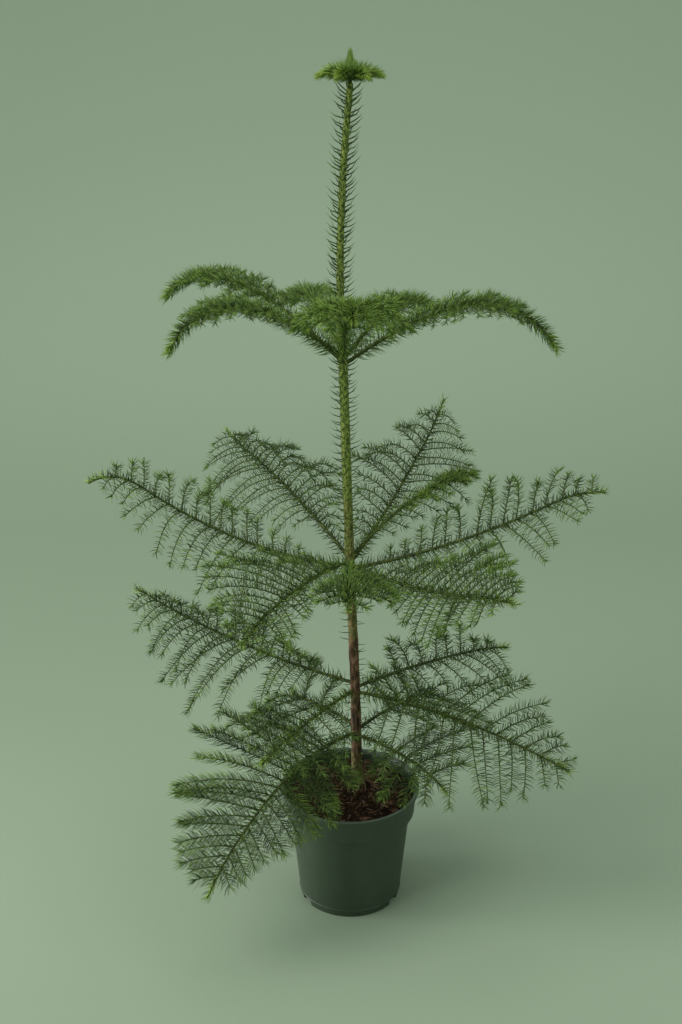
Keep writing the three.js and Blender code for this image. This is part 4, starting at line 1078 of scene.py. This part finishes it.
def look_of(bough):
    """The needles and colours of a frond, by its tier and by the side of the plant that it grows on."""
    tier, name, aside = bough["whorl"]["name"], bough["name"], np.sin(np.radians(bough["azimuth"]))
    look = dict(ROPE_FROND if tier == "whorl1" else SIDE_FROND)
    if tier != "whorl1" and aside > BEHIND:
        look.update(BACK_FROND)
    if tier != "whorl1" and aside < BEFORE:
        look.update(FRONT_FROND)
    look.update({"whorl3": LOWER_FROND, "whorl4": LOWEST_FROND}.get(tier, {}))
    if name == "front":
        look.update(NEAR_FROND)
    if name == "between" or (name == "front" and tier == "whorl1"):
        look.update(LIT_FROND)
    return look


def frond_needles(bough, twigs):
    """All the needles of one frond, without those that would stand in the pot."""
    rng = np.random.default_rng(PLANT_SEED + NEEDLE_SEEDS * bough["index"])
    look = look_of(bough)
    groups = [twig_needles(rng, twigs, look), end_needles(rng, twigs, look), axis_needles(rng, bough, look)]
    points, colours = (np.concatenate(column) for column in zip(*groups))
    clear = ~in_the_pot(points[:, NEEDLE_FOOT:]).any(axis=-1)
    return points[clear], colours[clear]


def put_fronds(label, own):
    """The twigs of some boughs as one piece, and their needles as another."""
    grown = [twigs_of(bough) for bough in own]
    root, along, bend, length, _ = (np.concatenate(column)[:, None] for column in zip(*grown))
    t = np.linspace(0, 1, TWIG_ROWS)
    twig_shape = tube(twig_at(root, along, bend, length, t), eased(t, *TWIG_RADIUS)[:, None], TWIG_SIDES)
    belongs(put_in_scene(f"twigs_{label}", *twig_shape, [young_stem]), "bough")
    nodes = [f"needles_{bough['whorl']['name']}_{bough['name']}" for bough in own]
    put_needles(f"sprays_{label}", [frond_needles(*frond) for frond in zip(own, grown)], "needles", *nodes)


BACK_BOUGHS = 4  # how many boughs of each of the two upper tiers make up its back piece
for whorl in WHORLS:
    own = tier_of(whorl)
    if whorl["name"] in ("whorl1", "whorl2"):
        put_fronds(f"{whorl['name']}_back", own[:BACK_BOUGHS])
        put_fronds(f"{whorl['name']}_front", own[BACK_BOUGHS:])
    else:
        put_fronds(whorl["name"], own)

# The stage
# A plain sage-green floor that curves up into a wall all round, so that every side has the same backdrop.
# A large soft light stands high at the left, a weaker one at the right, and the camera looks down on the
# plant. Its sizes are in metres.
FLOOR_START, FLOOR_RADIUS, WALL_RADIUS = 0.4, 1.2, 3.9
CURVE_TOP, WALL_TOP = 1.6, 2.6
CURVE_ROWS, FLOOR_COLUMNS = 24, 96
SAGE = (0.304, 0.392, 0.284)
WHITE = (1.0, 1.0, 1.0)
# Each light: its name, place, aim, size, power, colour and the width of its beam in degrees.
LIGHTS = [
    ("key", (-1.5, -0.9, 2.1), (0, 0, 0.25), 1.3, 39, (1.0, 0.98, 0.95), 180),
    ("fill", (1.7, -1.3, 1.5), (0, 0, 0.3), 1.6, 9, (0.95, 0.98, 1.0), 180),
    ("top", (0, 0.2, 2.5), (0, 0, 0), 1.8, 12.5, WHITE, 180),
    ("side", (-1.3, 0.02, 0.15), (0, 0, 0.1), 0.4, 0.9, WHITE, 40),
]
WALL_LIGHT = {"height": 2.0, "aim": 1.7, "size": 1.5, "power": 28}  # four of these stand round the plant
SKY, SKY_STRENGTH = (0.93, 1.0, 0.94), 0.35
CAMERA_PLACE = (-0.0076, -1.009, 0.7452)
CAMERA_PITCH = 21.71  # degrees below level
LENS, SENSOR = 50.0, 36.0

curve_turn = np.linspace(0, np.pi / 2, CURVE_ROWS)
curve_radius = FLOOR_RADIUS + (WALL_RADIUS - FLOOR_RADIUS) * np.sin(curve_turn)
curve = np.stack([curve_radius, CURVE_TOP * (1 - np.cos(curve_turn))], axis=-1)
sweep = np.concatenate([[(FLOOR_START, 0)], curve, [(WALL_RADIUS, WALL_TOP)]]) / MM
floor_faces = [grid_faces(len(sweep), FLOOR_COLUMNS)[:, ::-1], np.arange(FLOOR_COLUMNS)[None]]
sage, _, _ = new_finish("sage_backdrop", roughness=0.9, shine=0.1, colour=SAGE)
backdrop = put_in_scene("backdrop", spun(sweep, turns(FLOOR_COLUMNS)), floor_faces, [sage])


def soft_light(name, place, aim, size, power, colour, beam):
    """A square soft light that points at a place, with its beam held to that many degrees."""
    lamp = bpy.data.lights.new(name, "AREA")
    lamp.spread = np.radians(beam)
    lamp.size = size
    lamp.energy = power
    lamp.color = colour
    holder = bpy.data.objects.new(name, lamp)
    bpy.context.scene.collection.objects.link(holder)
    holder.location = place
    holder.visible_camera = False
    direction = Vector(aim) - Vector(place)
    holder.rotation_euler = direction.to_track_quat("-Z", "Y").to_euler()


for light in LIGHTS:
    soft_light(*light)
for quarter, (x, y, _) in enumerate(level_at(turns(4))):
    wall_place, wall_aim = (x, y, WALL_LIGHT["height"]), (WALL_RADIUS * x, WALL_RADIUS * y, WALL_LIGHT["aim"])
    soft_light(f"wall_{quarter}", wall_place, wall_aim, WALL_LIGHT["size"], WALL_LIGHT["power"], WHITE, 180)
world = bpy.data.worlds.new("studio")
bpy.context.scene.world = world
world.use_nodes = True
world.node_tree.nodes["Background"].inputs["Color"].default_value = (*SKY, 1)
world.node_tree.nodes["Background"].inputs["Strength"].default_value = SKY_STRENGTH
bpy.context.scene.view_settings.view_transform = "Standard"

lens = bpy.data.cameras.new("camera")
lens.lens = LENS
lens.sensor_width = SENSOR
camera = bpy.data.objects.new("camera", lens)
bpy.context.scene.collection.objects.link(camera)
camera.location = CAMERA_PLACE
camera.rotation_euler = (np.radians(90 - CAMERA_PITCH), 0, 0)
bpy.context.scene.camera = camera
